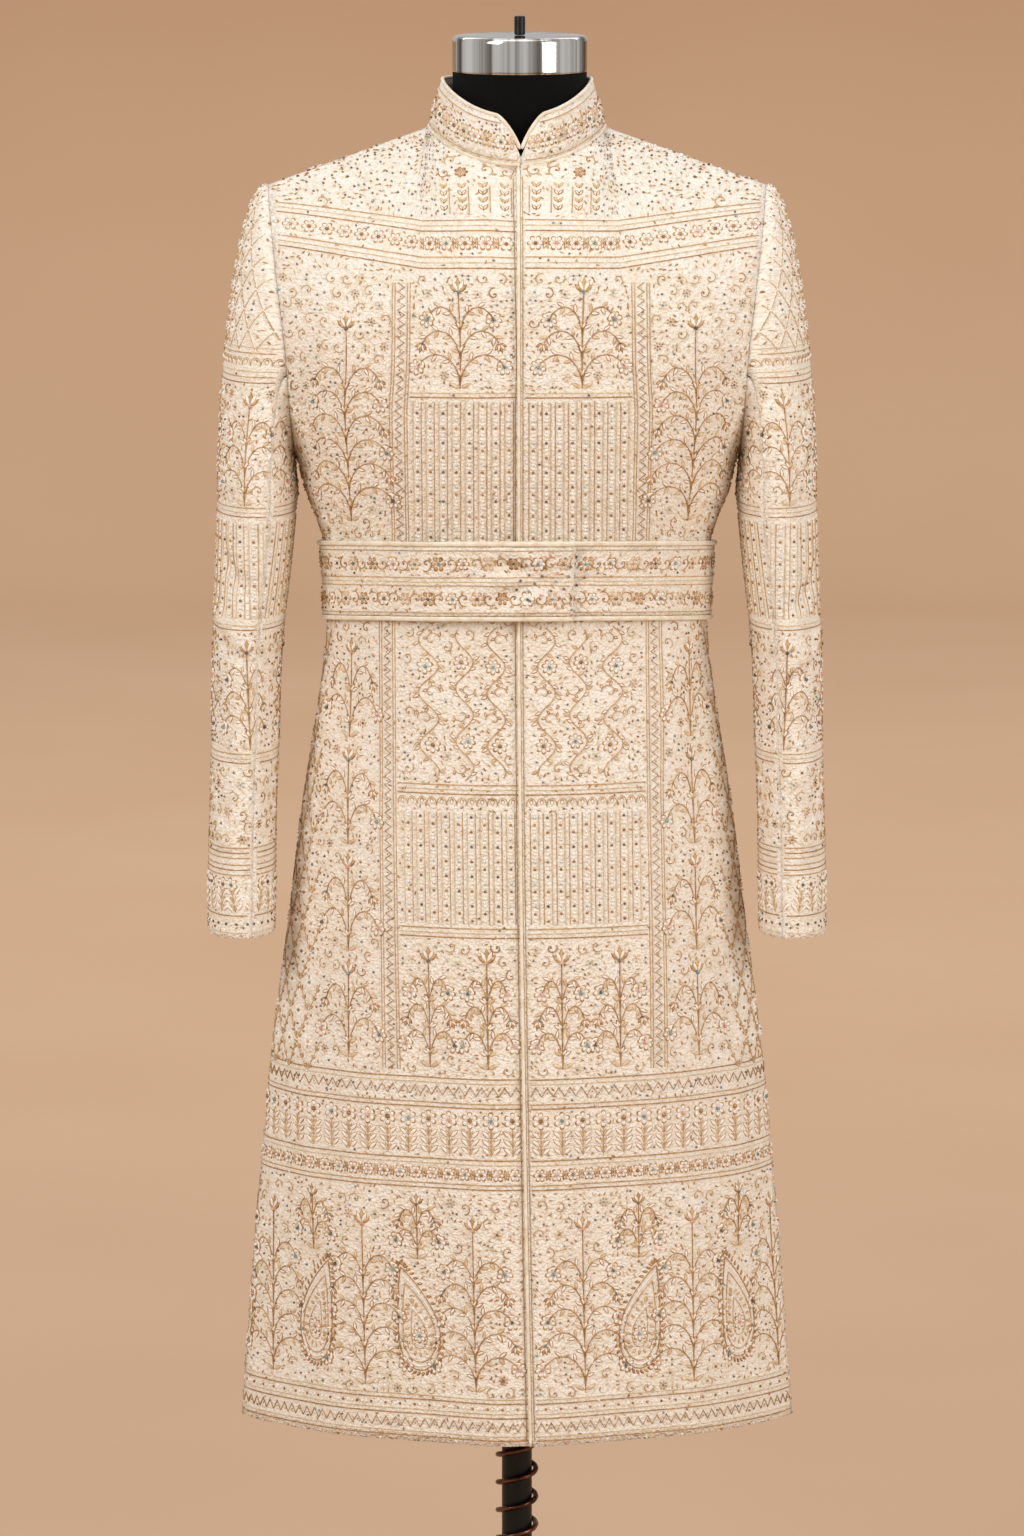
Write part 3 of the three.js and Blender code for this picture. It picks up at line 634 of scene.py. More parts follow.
def sleeve_chart(side, part):
    """p is 0 down the outside of the top sleeve, and down the inside of the under sleeve."""
    sign = 1 if side == "left" else -1
    seam = UNDER_SLEEVE_FROM
    turns = (seam, -seam) if part == "top" else (2 * math.pi - seam, seam)
    folds = SLEEVE_FOLDS[side] if part == "top" else NO_FOLDS

    def surface(share, q, rise):
        gap = SLEEVE_SEAM_TURN
        turn = lerp(turns[0] - gap, turns[1] + gap, share)
        points = arm_point(turn, q) if rise == 0 else cap_point(turn, 1 - rise)
        return points * [sign, 1, 1]

    width = 210 if part == "top" else 130
    rise = 270 if part == "top" else 120
    return Chart(surface, CUFF_Z, UPPER_ARM_Z, lambda q: 0.5, sign, folds, width, rise)


def collar_chart():
    def surface(share, q, rise):
        turn = lerp(COLLAR_GAP_TURN, 2 * math.pi - COLLAR_GAP_TURN, share)
        return collar_point(turn, rise * collar_height(turn))

    return Chart(surface, 0, 0, lambda q: 0.5, 1, NO_FOLDS, width=480, rise=COLLAR["height"])


def belt_chart():
    half = BELT["height"] / 2

    def surface(share, q, rise):
        return belt_point(lerp(BELT_START, BELT_END, share), q, BELT["cloth"])

    shown = (2 * math.pi) / (BELT_END - BELT_START)
    return Chart(surface, -half, half, lambda q: shown, 1, BELT_FOLDS, width=1000)


# ------------------------------------------------------------------ mesh objects


def mesh_object(name, points, triangles, materials, uv=None, slots=None, flat=None):
    """A mesh of triangles in the row frame, riding on the part's one body."""
    mesh = bpy.data.meshes.new(name)
    mesh.vertices.add(len(points))
    mesh.vertices.foreach_set("co", (np.asarray(points) * MM).astype(np.float32).ravel())
    mesh.loops.add(3 * len(triangles))
    mesh.loops.foreach_set("vertex_index", triangles.astype(np.int32).ravel())
    mesh.polygons.add(len(triangles))
    mesh.polygons.foreach_set("loop_start", np.arange(0, 3 * len(triangles), 3, dtype=np.int32))
    is_smooth = np.ones(len(triangles), bool) if flat is None else ~flat
    mesh.polygons.foreach_set("use_smooth", is_smooth)
    for material in materials:
        mesh.materials.append(material)
    if slots is not None:
        mesh.polygons.foreach_set("material_index", slots.astype(np.int32))
    if uv is not None:
        layer = mesh.uv_layers.new(name="chart")
        corners = (uv[triangles.ravel()] * MM).astype(np.float32)
        layer.data.foreach_set("uv", corners.ravel())
    mesh.update(calc_edges=True)
    made = bpy.data.objects.new(name, mesh)
    bpy.context.scene.collection.objects.link(made)
    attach(made, "root")
    return made


def grid_triangles(rows, columns, closed=False):
    """Triangles of a grid of points, right and up as seen from outside."""
    r, c = np.meshgrid(np.arange(rows - 1), np.arange(columns - (not closed)), indexing="ij")
    after = (c + 1) % columns
    a, b = r * columns + c, r * columns + after
    d, e = (r + 1) * columns + c, (r + 1) * columns + after
    return np.concatenate([np.stack([a, b, e], -1), np.stack([a, e, d], -1)]).reshape(-1, 3)


def rim_triangles(ring, count):
    """Triangles that join the outer and inner rim of a wall."""
    after = np.roll(ring, -1)
    outer = np.stack([ring, ring + count, after + count], -1)
    return np.concatenate([outer, np.stack([ring, after + count, after], -1)])


def cloth_wall(name, chart, thickness, material, keep, skip):
    """The closed thin shell of a piece of cloth, on each `skip`-th of its chart's points."""
    rows = np.unique(np.r_[0 : len(chart.points) : skip, len(chart.points) - 1])
    columns = np.unique(np.r_[0 : chart.points.shape[1] : skip, chart.points.shape[1] - 1])
    pick = np.ix_(rows, columns)
    outer = chart.points[pick].reshape(-1, 3)
    inner = outer - thickness * chart.normals[pick].reshape(-1, 3)
    points = np.concatenate([outer, inner])
    if keep:
        points = keep(points)
    count = len(outer)
    face = grid_triangles(len(rows), len(columns))
    index = np.arange(count).reshape(len(rows), len(columns))
    ring = np.r_[index[0, :-1], index[:-1, -1], index[-1, :0:-1], index[:0:-1, 0]]
    triangles = np.concatenate([face, face[:, ::-1] + count, rim_triangles(ring, count)])
    if chart.handed < 0:
        triangles = triangles[:, ::-1]
    flat = np.stack([chart.p[pick].ravel(), chart.q[pick].ravel()], -1)
    made = mesh_object(name, points, triangles, [material], uv=np.concatenate([flat, flat]))
    return made


def keep_to(side):
    """Keeps points on their own side of the side and shoulder seams, further off in the slits."""

    def keep(points):
        slit = SLIT_OPENING * np.clip((SLIT_Z - points[:, 2]) / (SLIT_Z - HEM_Z), 0, 1) / 2
        least = SEAM_GAP / 2 + slit
        points[:, 1] = facing(side) * np.maximum(facing(side) * points[:, 1], least)
        return points

    return keep


def tube(name, path, radius, sides, up, material):
    """A round cord along points, with rounded-in ends."""
    along = unit(np.gradient(path, axis=0))
    across = unit(np.cross(along, up))
    other = np.cross(across, along)
    turn = np.linspace(0, 2 * math.pi, sides, endpoint=False)
    ring = np.cos(turn)[:, None] * across[:, None] - np.sin(turn)[:, None] * other[:, None]
    sizes = np.full(len(path), float(radius))
    sizes[[0, -1]] *= 0.55
    points = path[:, None] + ring * sizes[:, None, None]
    run = run_along(path)
    uv = np.stack(np.broadcast_arrays(turn / (2 * math.pi) * 6.3 * radius, run[:, None]), -1)
    return stack(name, points, material, uv.reshape(-1, 2))


def stack(name, rings, material, uv=None):
    """A closed solid through rings of points, anticlockwise as seen from its last ring."""
    count, sides = rings.shape[:2]
    points = rings.reshape(-1, 3)
    middle = np.stack([rings[0].mean(axis=0), rings[-1].mean(axis=0)])
    body = grid_triangles(count, sides, closed=True)
    first = np.arange(sides)
    after = (first + 1) % sides
    top = (count - 1) * sides
    foot_cap = np.stack([np.full(sides, len(points)), after, first], -1)
    head_cap = np.stack([np.full(sides, len(points) + 1), top + first, top + after], -1)
    triangles = np.concatenate([body, foot_cap, head_cap])
    if uv is not None:
        uv = np.concatenate([uv, uv[:1], uv[-1:]])
    return mesh_object(name, np.concatenate([points, middle]), triangles, [material], uv=uv)


def turned(name, profile, material, sides=96, centre_x=0):
    """A turned piece from a profile of (radius, height), going up."""
    turn = np.linspace(0, 2 * math.pi, sides, endpoint=False)
    radius, height = np.array(profile, float).T
    x = centre_x + radius[:, None] * np.cos(turn)
    y = radius[:, None] * np.sin(turn)
    z = np.broadcast_to(height[:, None], x.shape)
    return stack(name, np.stack([x, y, z], -1), material)


def rounded(profile, size, steps=4):
    """A profile with each inner corner taken round, over at most `size` of its sides."""
    profile = [np.array(point, float) for point in profile]
    made = [profile[0]]
    for before, corner, after in zip(profile, profile[1:], profile[2:]):
        reach = [min(size, np.linalg.norm(end - corner) / 2.2) for end in (before, after)]
        start = corner + unit(before - corner) * reach[0]
        end = corner + unit(after - corner) * reach[1]
        for share in np.linspace(0, 1, steps + 1):
            made.append((1 - share) ** 2 * start + 2 * share * (1 - share) * corner + share**2 * end)
    return [*made, profile[-1]]


# ------------------------------------------------------------------ materials


def linear(hex_colour):
    """Linear colour of six hex digits."""
    values = [int(hex_colour[i : i + 2], 16) / 255 for i in (0, 2, 4)]
    return [v / 12.92 if v <= 0.04045 else ((v + 0.055) / 1.055) ** 2.4 for v in values] + [1]


class Finish:
    """A node material in the making."""

    def __init__(self, name, **sockets):
        self.made = bpy.data.materials.new(name)
        self.made.use_nodes = True
        self.nodes = self.made.node_tree.nodes
        self.links = self.made.node_tree.links
        self.shader = self.nodes["Principled BSDF"]
        for socket, value in sockets.items():
            self.shader.inputs[socket.replace("_", " ")].default_value = value
        self.coordinates = self.nodes.new("ShaderNodeTexCoord")
        self.height = None

    def node(self, kind, source=None, **inputs):
        made = self.nodes.new(kind)
        for name, value in inputs.items():
            made.inputs[name.replace("_", " ")].default_value = value
        if source is not None:
            self.links.new(source, made.inputs[0])
        return made

    def place(self, source="Object", stretch=(1, 1, 1)):
        """Coordinates in metres, stretched."""
        made = self.node("ShaderNodeMapping", self.coordinates.outputs[source])
        made.inputs["Scale"].default_value = stretch
        return made.outputs[0]

    def texture(self, kind, place, out, **inputs):
        return self.node(f"ShaderNodeTex{kind}", place, **inputs).outputs[out]

    def noise(self, scale, detail=2.0, place=None):
        place = self.place() if place is None else place
        return self.texture("Noise", place, "Fac", Scale=scale, Detail=detail)

    def ramp(self, value, *stops):
        """Colours of (position, hex colour) stops for a value from 0 to 1."""
        made = self.node("ShaderNodeValToRGB", value)
        elements = made.color_ramp.elements
        while len(elements) < len(stops):
            elements.new(0.5)
        for element, (position, colour) in zip(elements, stops):
            element.position = position
            element.color = linear(colour)
        return made.outputs["Color"]

    def mix(self, share, first, second):
        made = self.nodes.new("ShaderNodeMix")
        made.data_type = "RGBA"
        found = {socket.identifier: socket for socket in [*made.inputs, *made.outputs]}
        found["Factor_Float"].default_value = share
        self.links.new(first, found["A_Color"])
        self.links.new(second, found["B_Color"])
        return found["Result_Color"]

    def bump(self, value, distance):
        """Adds relief, in metres, on top of any relief that is there."""
        made = self.node("ShaderNodeBump", Strength=1.0, Distance=distance)
        self.links.new(value, made.inputs["Height"])
        if self.height is not None:
            self.links.new(self.height, made.inputs["Normal"])
        self.height = made.outputs[0]

    def done(self, colour):
        self.links.new(colour, self.shader.inputs["Base Color"])
        if self.height is not None:
            self.links.new(self.height, self.shader.inputs["Normal"])
        return self.made


def silk_finish():
    """Raw silk with fine filling stitches worked into it, ivory with beige in its hollows."""
    finish = Finish("silk", Roughness=0.6, Sheen_Weight=0.2, Sheen_Roughness=0.4)
    finish.shader.inputs["Sheen Tint"].default_value = linear("fff3e2")
    chart = finish.place("UV")
    cells = finish.texture("Voronoi", chart, "Distance", Scale=330.0, Randomness=0.9)
    knots = finish.texture("Voronoi", chart, "Distance", Scale=620.0, Randomness=1.0)
    slub = finish.noise(1.0, 3.0, finish.place("UV", (60, 900, 1)))
    weave = finish.noise(1.0, place=finish.place("UV", (1500, 1500, 1)))
    cloud = finish.noise(46.0, 5.0, chart)
    stitch = finish.ramp(cells, (0.05, "fdf8f1"), (0.4, "f7eee1"), (0.68, "e2cfb4"))
    thread = finish.ramp(knots, (0.05, "fdfaf4"), (0.5, "f6ecde"), (0.88, "e0cbae"))
    tone = finish.ramp(cloud, (0.34, "ecdfcb"), (0.5, "f7eee2"), (0.68, "fffcf7"))
    colour = finish.mix(0.42, finish.mix(0.45, stitch, thread), tone)
    finish.bump(cells, 0.0013)
    finish.bump(knots, 0.0006)
    finish.bump(slub, 0.0002)
    finish.bump(weave, 0.0001)
    return finish.done(colour)


def thread_finish(name, light, dark, roughness, **sockets):
    """A thread of two close tones, with its twist as relief."""
    finish = Finish(name, Roughness=roughness, **sockets)
    tone = finish.noise(260.0)
    finish.bump(finish.noise(1600.0), 0.0003)
    return finish.done(finish.ramp(tone, (0.36, dark), (0.64, light)))


# Threads, beads and stones: material name, light and dark tone, roughness, other sockets.
THREADS = {
    "ivory": ("ivory_thread", "fefaf3", "f5ebdd", 0.45, {"Sheen_Weight": 0.2}),
    "cream": ("cream_thread", "ecd9bb", "d2b68e", 0.45, {"Sheen_Weight": 0.2}),
    "beige": ("beige_thread", "d8b587", "b58d5c", 0.45, {}),
    "gold": ("gold_thread", "c99c64", "9d6f3f", 0.36, {"Metallic": 0.2}),
    "pearl": ("pearl_bead", "fbf5ea", "efe2cf", 0.22, {"Coat_Weight": 0.4}),
    "amber": ("gold_bead", "c3935c", "8d6336", 0.25, {"Metallic": 0.5}),
    "teal": ("teal_stone", "8fabac", "4d6d76", 0.2, {"Coat_Weight": 0.5}),
    "coral": ("coral_stone", "eab8a2", "cc8a72", 0.25, {"Coat_Weight": 0.5}),
    "brown": ("smoke_stone", "84705d", "493b30", 0.2, {"Coat_Weight": 0.5}),
    "silver": ("crystal", "eef2f2", "b9c2c2", 0.12, {"Metallic": 0.3, "Coat_Weight": 0.6}),
}
THREAD_SLOTS = {name: index for index, name in enumerate(THREADS)}


def piping_finish():
    finish = Finish("piping", Roughness=0.5, Sheen_Weight=0.25)
    finish.bump(finish.noise(1.0, place=finish.place("UV", (900, 260, 1))), 0.0004)
    return finish.done(finish.ramp(finish.noise(120.0, 3.0), (0.35, "e6d3b4"), (0.65, "f5ead8")))


def jersey_finish():
    finish = Finish("jersey", Roughness=0.95, Specular_IOR_Level=0.2)
    rows = finish.place("Object", (1, 1, 1.4))
    knit = finish.texture("Wave", rows, "Fac", Scale=420.0, Distortion=2.0)
    finish.bump(knit, 0.0003)
    return finish.done(finish.ramp(finish.noise(30.0, 4.0), (0.35, "020202"), (0.7, "070606")))


def chrome_finish():
    """Chrome for the turned cap, with painted reflections in its base colour: dark and light streaks that
    stand upright on its wall and run outwards on its top.
    """
    finish = Finish("chrome", Metallic=1.0, Roughness=0.09)
    around = finish.node("ShaderNodeVectorMath", finish.place("Object", (1, 1, 0)))
    around.operation = "NORMALIZE"
    # The streaks are painted reflections, dark brown-grey to near white; the same noise also gives a
    # faint relief.
    tone = finish.noise(3.6, 3.0, around.outputs[0])
    finish.bump(tone, 0.0002)
    stops = (0.38, "5c5550"), (0.47, "b3aca5"), (0.54, "e6e3e0"), (0.64, "fbfaf9")
    return finish.done(finish.ramp(tone, *stops))


def black_metal_finish():
    finish = Finish("black_metal", Roughness=0.42, Specular_IOR_Level=0.3)
    finish.bump(finish.noise(700.0), 0.0001)
    return finish.done(finish.ramp(finish.noise(24.0, 5.0), (0.35, "060505"), (0.75, "0f0d0c")))


def wire_finish():
    finish = Finish("copper_wire", Metallic=0.95, Roughness=0.26)
    tone = finish.noise(90.0, 5.0)
    finish.bump(tone, 0.0002)
    return finish.done(finish.ramp(tone, (0.3, "3f281c"), (0.55, "6b4833"), (0.8, "96694c")))


def stage_finish():
    """Plain matt paper."""
    finish = Finish("paper", Roughness=0.9)
    return finish.done(finish.ramp(finish.noise(1.2), (0.3, "c09e7f"), (0.7, "c4a384")))


# ------------------------------------------------------------------ needlework

SINK = 0.3  # the foot of a stitch lies this far under the cloth's face
SEED = 11


def polar(p, q, reach, turn):
    """The place that lies `reach` away from (p, q) in the direction `turn`."""
    return p + reach * math.cos(turn), q + reach * math.sin(turn)


def fan(outline, *peaks):
    """A raised shape: an outline at height 0 round one peak at height 1."""
    count = len(outline)
    points = [(along, across, 0) for along, across in outline] + [(*peaks[0], 1)]
    return np.array(points, float), np.array([(i, (i + 1) % count, count) for i in range(count)])


def round_outline(sides, radius=0.5):
    turns = np.linspace(0, 2 * math.pi, sides, endpoint=False)
    return [(radius * math.cos(t), radius * math.sin(t)) for t in turns]


def dome(sides, shoulder):
    """A round shape with a shoulder ring between its foot and its top."""
    foot = np.array([(x, y, 0) for x, y in round_outline(sides)])
    ring = np.array([(x, y, shoulder[1]) for x, y in round_outline(sides, shoulder[0])])
    points = np.concatenate([foot, ring, [(0, 0, 1)]])
    first = np.arange(sides)
    after = (first + 1) % sides
    low = np.stack([first, after, after + sides], -1)
    high = np.stack([first, after + sides, first + sides], -1)
    top = np.stack([first + sides, after + sides, np.full(sides, 2 * sides)], -1)
    return points, np.concatenate([low, high, top])


# Shapes of one unit: leaves and petals run from their foot at 0 to their tip at 1.
SHAPES = {
    "leaf": fan([(0, 0), (0.25, -0.42), (0.62, -0.4), (1, 0), (0.62, 0.4), (0.25, 0.42)], (0.45, 0)),
    "petal": fan([(0, 0), (0.55, -0.42), (0.9, -0.3), (1, 0), (0.9, 0.3), (0.55, 0.42)], (0.66, 0)),
    "bead": fan(round_outline(5), (0, 0)),
    "pearl": dome(7, (0.4, 0.66)),
    "stone": dome(4, (0.34, 0.9)),
}
FACETED = {"stone"}


class Needlework:
    """Stitches on one chart. They are kept as rows of numbers until they become one mesh."""

    CELL = 2.0
    MARGIN = 0.35  # no stitch starts nearer to the cloth's edge

    def __init__(self, chart, bare):
        self.chart = chart
        self.random = np.random.default_rng(SEED)
        self.bare = bare
        self.shapes = {name: [] for name in SHAPES}
        self.cords = []
        self.left = chart.p.min()
        rows = int((chart.q.max() - chart.low) / self.CELL) + 2
        columns = int((chart.p.max() - self.left) / self.CELL) + 2
        self.taken = np.zeros((rows, columns), bool)

    # places -------------------------------------------------------------------------------

    def cells(self, p, q, reach):
        low = np.array([q - self.chart.low - reach, p - self.left - reach]) / self.CELL
        high = np.array([q - self.chart.low + reach, p - self.left + reach]) / self.CELL
        r0, c0 = np.maximum(np.round(low).astype(int), 0)
        r1, c1 = np.maximum(np.round(high).astype(int) + 1, 0)
        return self.taken[r0:r1, c0:c1]

    def is_free(self, p, q, reach):
        found = self.cells(p, q, reach)
        return found.size > 0 and not found.any()

    def take(self, p, q, reach):
        self.cells(p, q, reach)[...] = True

    # single stitches ----------------------------------------------------------------------

    def put(self, shape, p, q, turn, length, width, height, thread):
        self.shapes[shape].append((p, q, turn, length, width, height, THREAD_SLOTS[thread]))
        middle = 0.5 * length if shape in ("leaf", "petal") else 0
        self.take(*polar(p, q, middle, turn), 0.42 * max(width, 1.2))

    def bead(self, p, q, size=2.0, thread="pearl", shape="bead"):
        self.put(shape, p, q, 0.3, size, size, 0.55 * size + SINK, thread)

    def leaf(self, p, q, turn, length=6.0, width=2.8, thread="ivory", shape="leaf"):
        """A padded leaf. One that is large enough lies on a darker leaf, which outlines it."""
        if length > 4 and thread != "gold":
            edge = "gold" if thread == "ivory" else "beige" if thread == "cream" else "amber"
            back = polar(p, q, -0.8, turn)
            self.put(shape, *back, turn, length + 2, width + 1.8, SINK + 1.1, edge)
        self.put(shape, p, q, turn, length, width, min(0.34 * width, 1.3) + SINK + 0.8, thread)

    def leaves(self, p, q, turn, spread, length, width, *threads):
        """Two leaves from one foot, the first one turned by `spread` and the other one back."""
        self.leaf(p, q, turn + spread, length, width, threads[0])
        self.leaf(p, q, turn - spread, length, width, threads[-1])

    def cord(self, p, q, thread="beige", width=1.3):
        """A couched cord through places that are a few millimetres apart."""
        p, q = np.broadcast_arrays(np.asarray(p, float), np.asarray(q, float))
        self.cords.append((p, q, width, THREAD_SLOTS[thread]))
        for at_p, at_q in zip(p, q):
            self.take(at_p, at_q, 0.5 * width)

    def line(self, start, end, thread="beige", width=1.3, step=5):
        count = max(int(math.dist(start, end) / step), 1) + 1
        p, q = (np.linspace(first, last, count) for first, last in zip(start, end))
        self.cord(p, q, thread, width)

    def bead_line(self, start, end, pitch=4, size=1.8, threads=("pearl",), shape="bead"):
        count = max(int(math.dist(start, end) / pitch), 1)
        for index, share in enumerate(np.linspace(0, 1, count + 1)):
            p, q = lerp(start[0], end[0], share), lerp(start[1], end[1], share)
            self.bead(p, q, size, threads[index % len(threads)], shape)

    # mesh ---------------------------------------------------------------------------------

    def kept(self, p, q, margin):
        keep = self.chart.inside(p, q, margin)
        if self.bare:
            keep &= (q < self.bare[0]) | (q > self.bare[1])
        return keep

    def shape_mesh(self, name):
        rows = np.array(self.shapes[name], float)
        template, faces = SHAPES[name]
        p, q, turn, length, width, height, thread = rows.T
        reach = length if name in ("leaf", "petal") else 0 * length
        tip = p + reach * np.cos(turn), q + reach * np.sin(turn)
        rows = rows[self.kept(p, q, self.MARGIN) & self.kept(*tip, self.MARGIN)]
        p, q, turn, length, width, height, thread = rows.T[..., None]
        along = template[:, 0] * length
        across = template[:, 1] * width
        at_p = p + along * np.cos(turn) - across * np.sin(turn)
        at_q = q + along * np.sin(turn) + across * np.cos(turn)
        points = self.chart.place(at_p, at_q, template[:, 2] * height - SINK).reshape(-1, 3)
        first = np.arange(len(rows))[:, None, None] * len(template)
        triangles = (faces[None] + first).reshape(-1, 3)
        slots = np.repeat(thread[:, 0].astype(int), len(faces))
        return points, triangles, slots, np.full(len(triangles), name in FACETED)

    def cord_meshes(self):
        """Strips of three points across, the middle one raised."""
        for p, q, width, thread in self.cords:
            keep = self.kept(p, q, self.MARGIN)
            for part in np.split(np.arange(len(p)), np.flatnonzero(np.diff(keep)) + 1):
                if len(part) < 2 or not keep[part[0]]:
                    continue
                line = np.stack([p[part], q[part]], -1)
                along = unit(np.gradient(line, axis=0))
                side = np.stack([-along[:, 1], along[:, 0]], -1) * width / 2
                flat = np.stack([line + side, line, line - side], axis=1)
                out = np.broadcast_to([-SINK, 0.72 * width, -SINK], flat.shape[:2])
                points = self.chart.place(flat[..., 0], flat[..., 1], out).reshape(-1, 3)
                triangles = grid_triangles(len(line), 3)[:, ::-1]
                slots = np.full(len(triangles), thread)
                yield points, triangles, slots, np.zeros(len(triangles), bool)

    def made(self, name, materials):
        found = [self.shape_mesh(shape) for shape, rows in self.shapes.items() if rows]
        found += list(self.cord_meshes())
        counts = np.cumsum([0] + [len(points) for points, *_ in found])
        points = np.concatenate([part[0] for part in found])
        triangles = np.concatenate([part[1] + first for part, first in zip(found, counts)])
        slots = np.concatenate([part[2] for part in found])
        flat = np.concatenate([part[3] for part in found])
        if self.chart.handed < 0:
            triangles = triangles[:, ::-1]
        piece = mesh_object(name, points, triangles, materials, slots=slots, flat=flat)
        print(name, len(triangles), "triangles")
        return piece


# ------------------------------------------------------------------ motifs


def flower(work, p, q, size=8.0, petals=6, thread="ivory", eye="amber", turn=0.0):
    """A rosette of padded petals round a bead."""
    for step in range(petals):
        angle = turn + 2 * math.pi * step / petals
        at = polar(p, q, 0.24 * size, angle)
        work.leaf(*at, angle, 0.76 * size, 5.2 * size / petals * 0.85, thread, "petal")
    work.bead(p, q, 0.6 * size, eye, "stone" if eye in ("teal", "coral", "brown") else "pearl")
    work.take(p, q, 0.8 * size)


def scroll(work, p, q, size, start, hand, thread="beige", leaf="ivory", eye="pearl"):
    """A tendril that curls in, with leaves along its outside."""
    share = np.linspace(0, 1, 15)
    angle = start + hand * 5.2 * share
    reach = size * (1 - 0.8 * share)
    work.cord(p + reach * np.cos(angle), q + reach * np.sin(angle), thread, 1.3)
    for step in (1, 4, 7):
        at = polar(p, q, reach[step], angle[step])
        work.leaf(*at, angle[step] + hand * 0.9, 0.62 * size, 0.3 * size, leaf)
    work.bead(p, q, 0.3 * size, eye, "pearl")
    work.take(p, q, 0.8 * size)


def sprig(work, p, q, height, turn, eye):
    """A small plant: a stem, paired leaves and a flower."""
    toward = np.array([math.cos(turn), math.sin(turn)])
    aside = np.array([-toward[1], toward[0]])
    foot = np.array([p, q])
    head = min(0.2 * height, 7.5)
    stem = height - 1.9 * head
    share = np.linspace(0, 1, max(int(stem / 4), 3))
    line = foot + np.outer(share * (stem + head), toward)
    work.cord(line[:, 0], line[:, 1], "beige", 1.3)
    length = min(0.36 * height, 11)
    for lift in np.arange(1, stem - 0.3 * length, 0.66 * length):
        at = foot + toward * lift
        for hand in (-1, 1):
            beside = at + aside * hand * 0.6
            work.leaf(*beside, turn + hand * 0.85, length, 0.4 * length, "ivory")
            work.leaf(*at, turn + hand * 0.4, 0.7 * length, 0.24 * length, "cream")
        work.bead(*at, 1.8, "amber")
    flower(work, *(foot + toward * (stem + head)), head, 6, "ivory", eye, turn)


def tulip(work, p, q, size, turn, eye):
    """A bud of five leaves that fan out from a stone."""
    for step in range(-2, 3):
        thread = "ivory" if step % 2 else "beige"
        work.leaf(p, q, turn + 0.44 * step, size * (1 - 0.1 * abs(step)), 0.34 * size, thread)
    work.bead(p, q, 0.34 * size, eye, "stone")


def bouquet(work, p, q, height, width, eyes):
    """A flowering plant: a stem, shoots that arch out with leaves along them, and buds."""
    work.line((p, q), (p, q + 0.84 * height), "gold", 1.5)
    pairs = max(int(height / 30), 2)
    share = np.linspace(0, 1, 9)
    for level in range(pairs):
        foot = q + height * (0.02 + 0.62 * level / pairs)
        reach = 0.5 * width * (1 - 0.35 * level / pairs)
        rise = 0.62 * height / pairs + 7
        for hand in (-1, 1):
            x = p + hand * reach * (1 - np.cos(2.5 * share)) / 1.8
            y = foot + rise * np.sin(2.5 * share)
            work.cord(x, y, "gold", 1.4)
            for step in (1, 3, 5, 7):
                heading = math.atan2(y[step + 1] - y[step], x[step + 1] - x[step])
                threads = ("ivory", "cream") if level % 2 else ("cream", "ivory")
                work.leaves(x[step], y[step], heading, 0.8, 8.8, 3.5, *threads)
            eye = eyes[(level + (hand > 0)) % len(eyes)]
            if level % 2:
                tulip(work, x[-1], y[-1], 9.5, -math.pi / 2 + hand * 0.3, eye)
            else:
                flower(work, x[-1], y[-1], 7.2, 7, "ivory", eye, hand * 0.3)
            work.bead(p + hand * 3.4, foot + 0.5 * rise, 2.4, "amber")
    tulip(work, p, q + 0.84 * height, min(0.1 * height + 5, 14), math.pi / 2, eyes[0])
    work.leaves(p, q, math.pi / 2, -1.1, 12, 4, "cream")


def paisley_outline(p, q, height, width, hand, count):
    """A drop with its tip bent over: round at its foot, pointed at its head."""
    angle = np.linspace(0, 2 * math.pi, count)
    along = (1 - np.cos(angle)) / 2
    across = np.sin(angle) * np.abs(np.cos(angle / 2)) ** 0.9 * 0.62
    bent = hand * 0.42 * width * np.clip(along - 0.35, 0, 1) ** 1.6 * 1.9
    return p + across * width + bent, q + along * height


def paisley(work, p, q, height, width, hand, eye):
    """A paisley with close rims, leaves round it, petals inside and a flower at its heart."""
    centre = p, q + 0.34 * height

    def outline(size, count):
        x, y = paisley_outline(p, q, height, width, hand, count)
        return lerp(centre[0], x, size), lerp(centre[1], y, size)

    step = 2 * 2.3 / width
    for ring, thread in enumerate(("gold", "ivory", "beige")):
        work.cord(*outline(1 - ring * step, int(height / 2.5)), thread, 1.5)
    for size, thread, tilt in ((1 + 0.4 * step, "beige", 0.6), (1 - 4.6 * step, "cream", -0.5)):
        x, y = outline(size, int(height * size / 2.0))
        for at_p, at_q, ahead_p, ahead_q in zip(x, y, x[1:], y[1:]):
            out = math.atan2(ahead_q - at_q, ahead_p - at_p) - 0.5 * math.pi + tilt
            work.leaf(at_p, at_q, out, 5.2, 2.3, thread)
    work.cord(*outline(1 - 5.4 * step, int(height / 4)), "beige", 1.2)
    flower(work, *centre, 0.17 * width, 8, "ivory", eye)
    for ring in range(12):
        at = polar(*centre, 0.22 * width, 2 * math.pi * ring / 12)
        work.bead(*at, 2.0, "pearl" if ring % 2 else "amber")


def directions(start, end):
    """Length of a line, the unit vectors along and across it, and its places as arrays."""
    start = np.array(start, float)
    length = math.dist(start, end)
    toward = (np.array(end) - start) / length
    return start, length, toward, np.array([-toward[1], toward[0]])


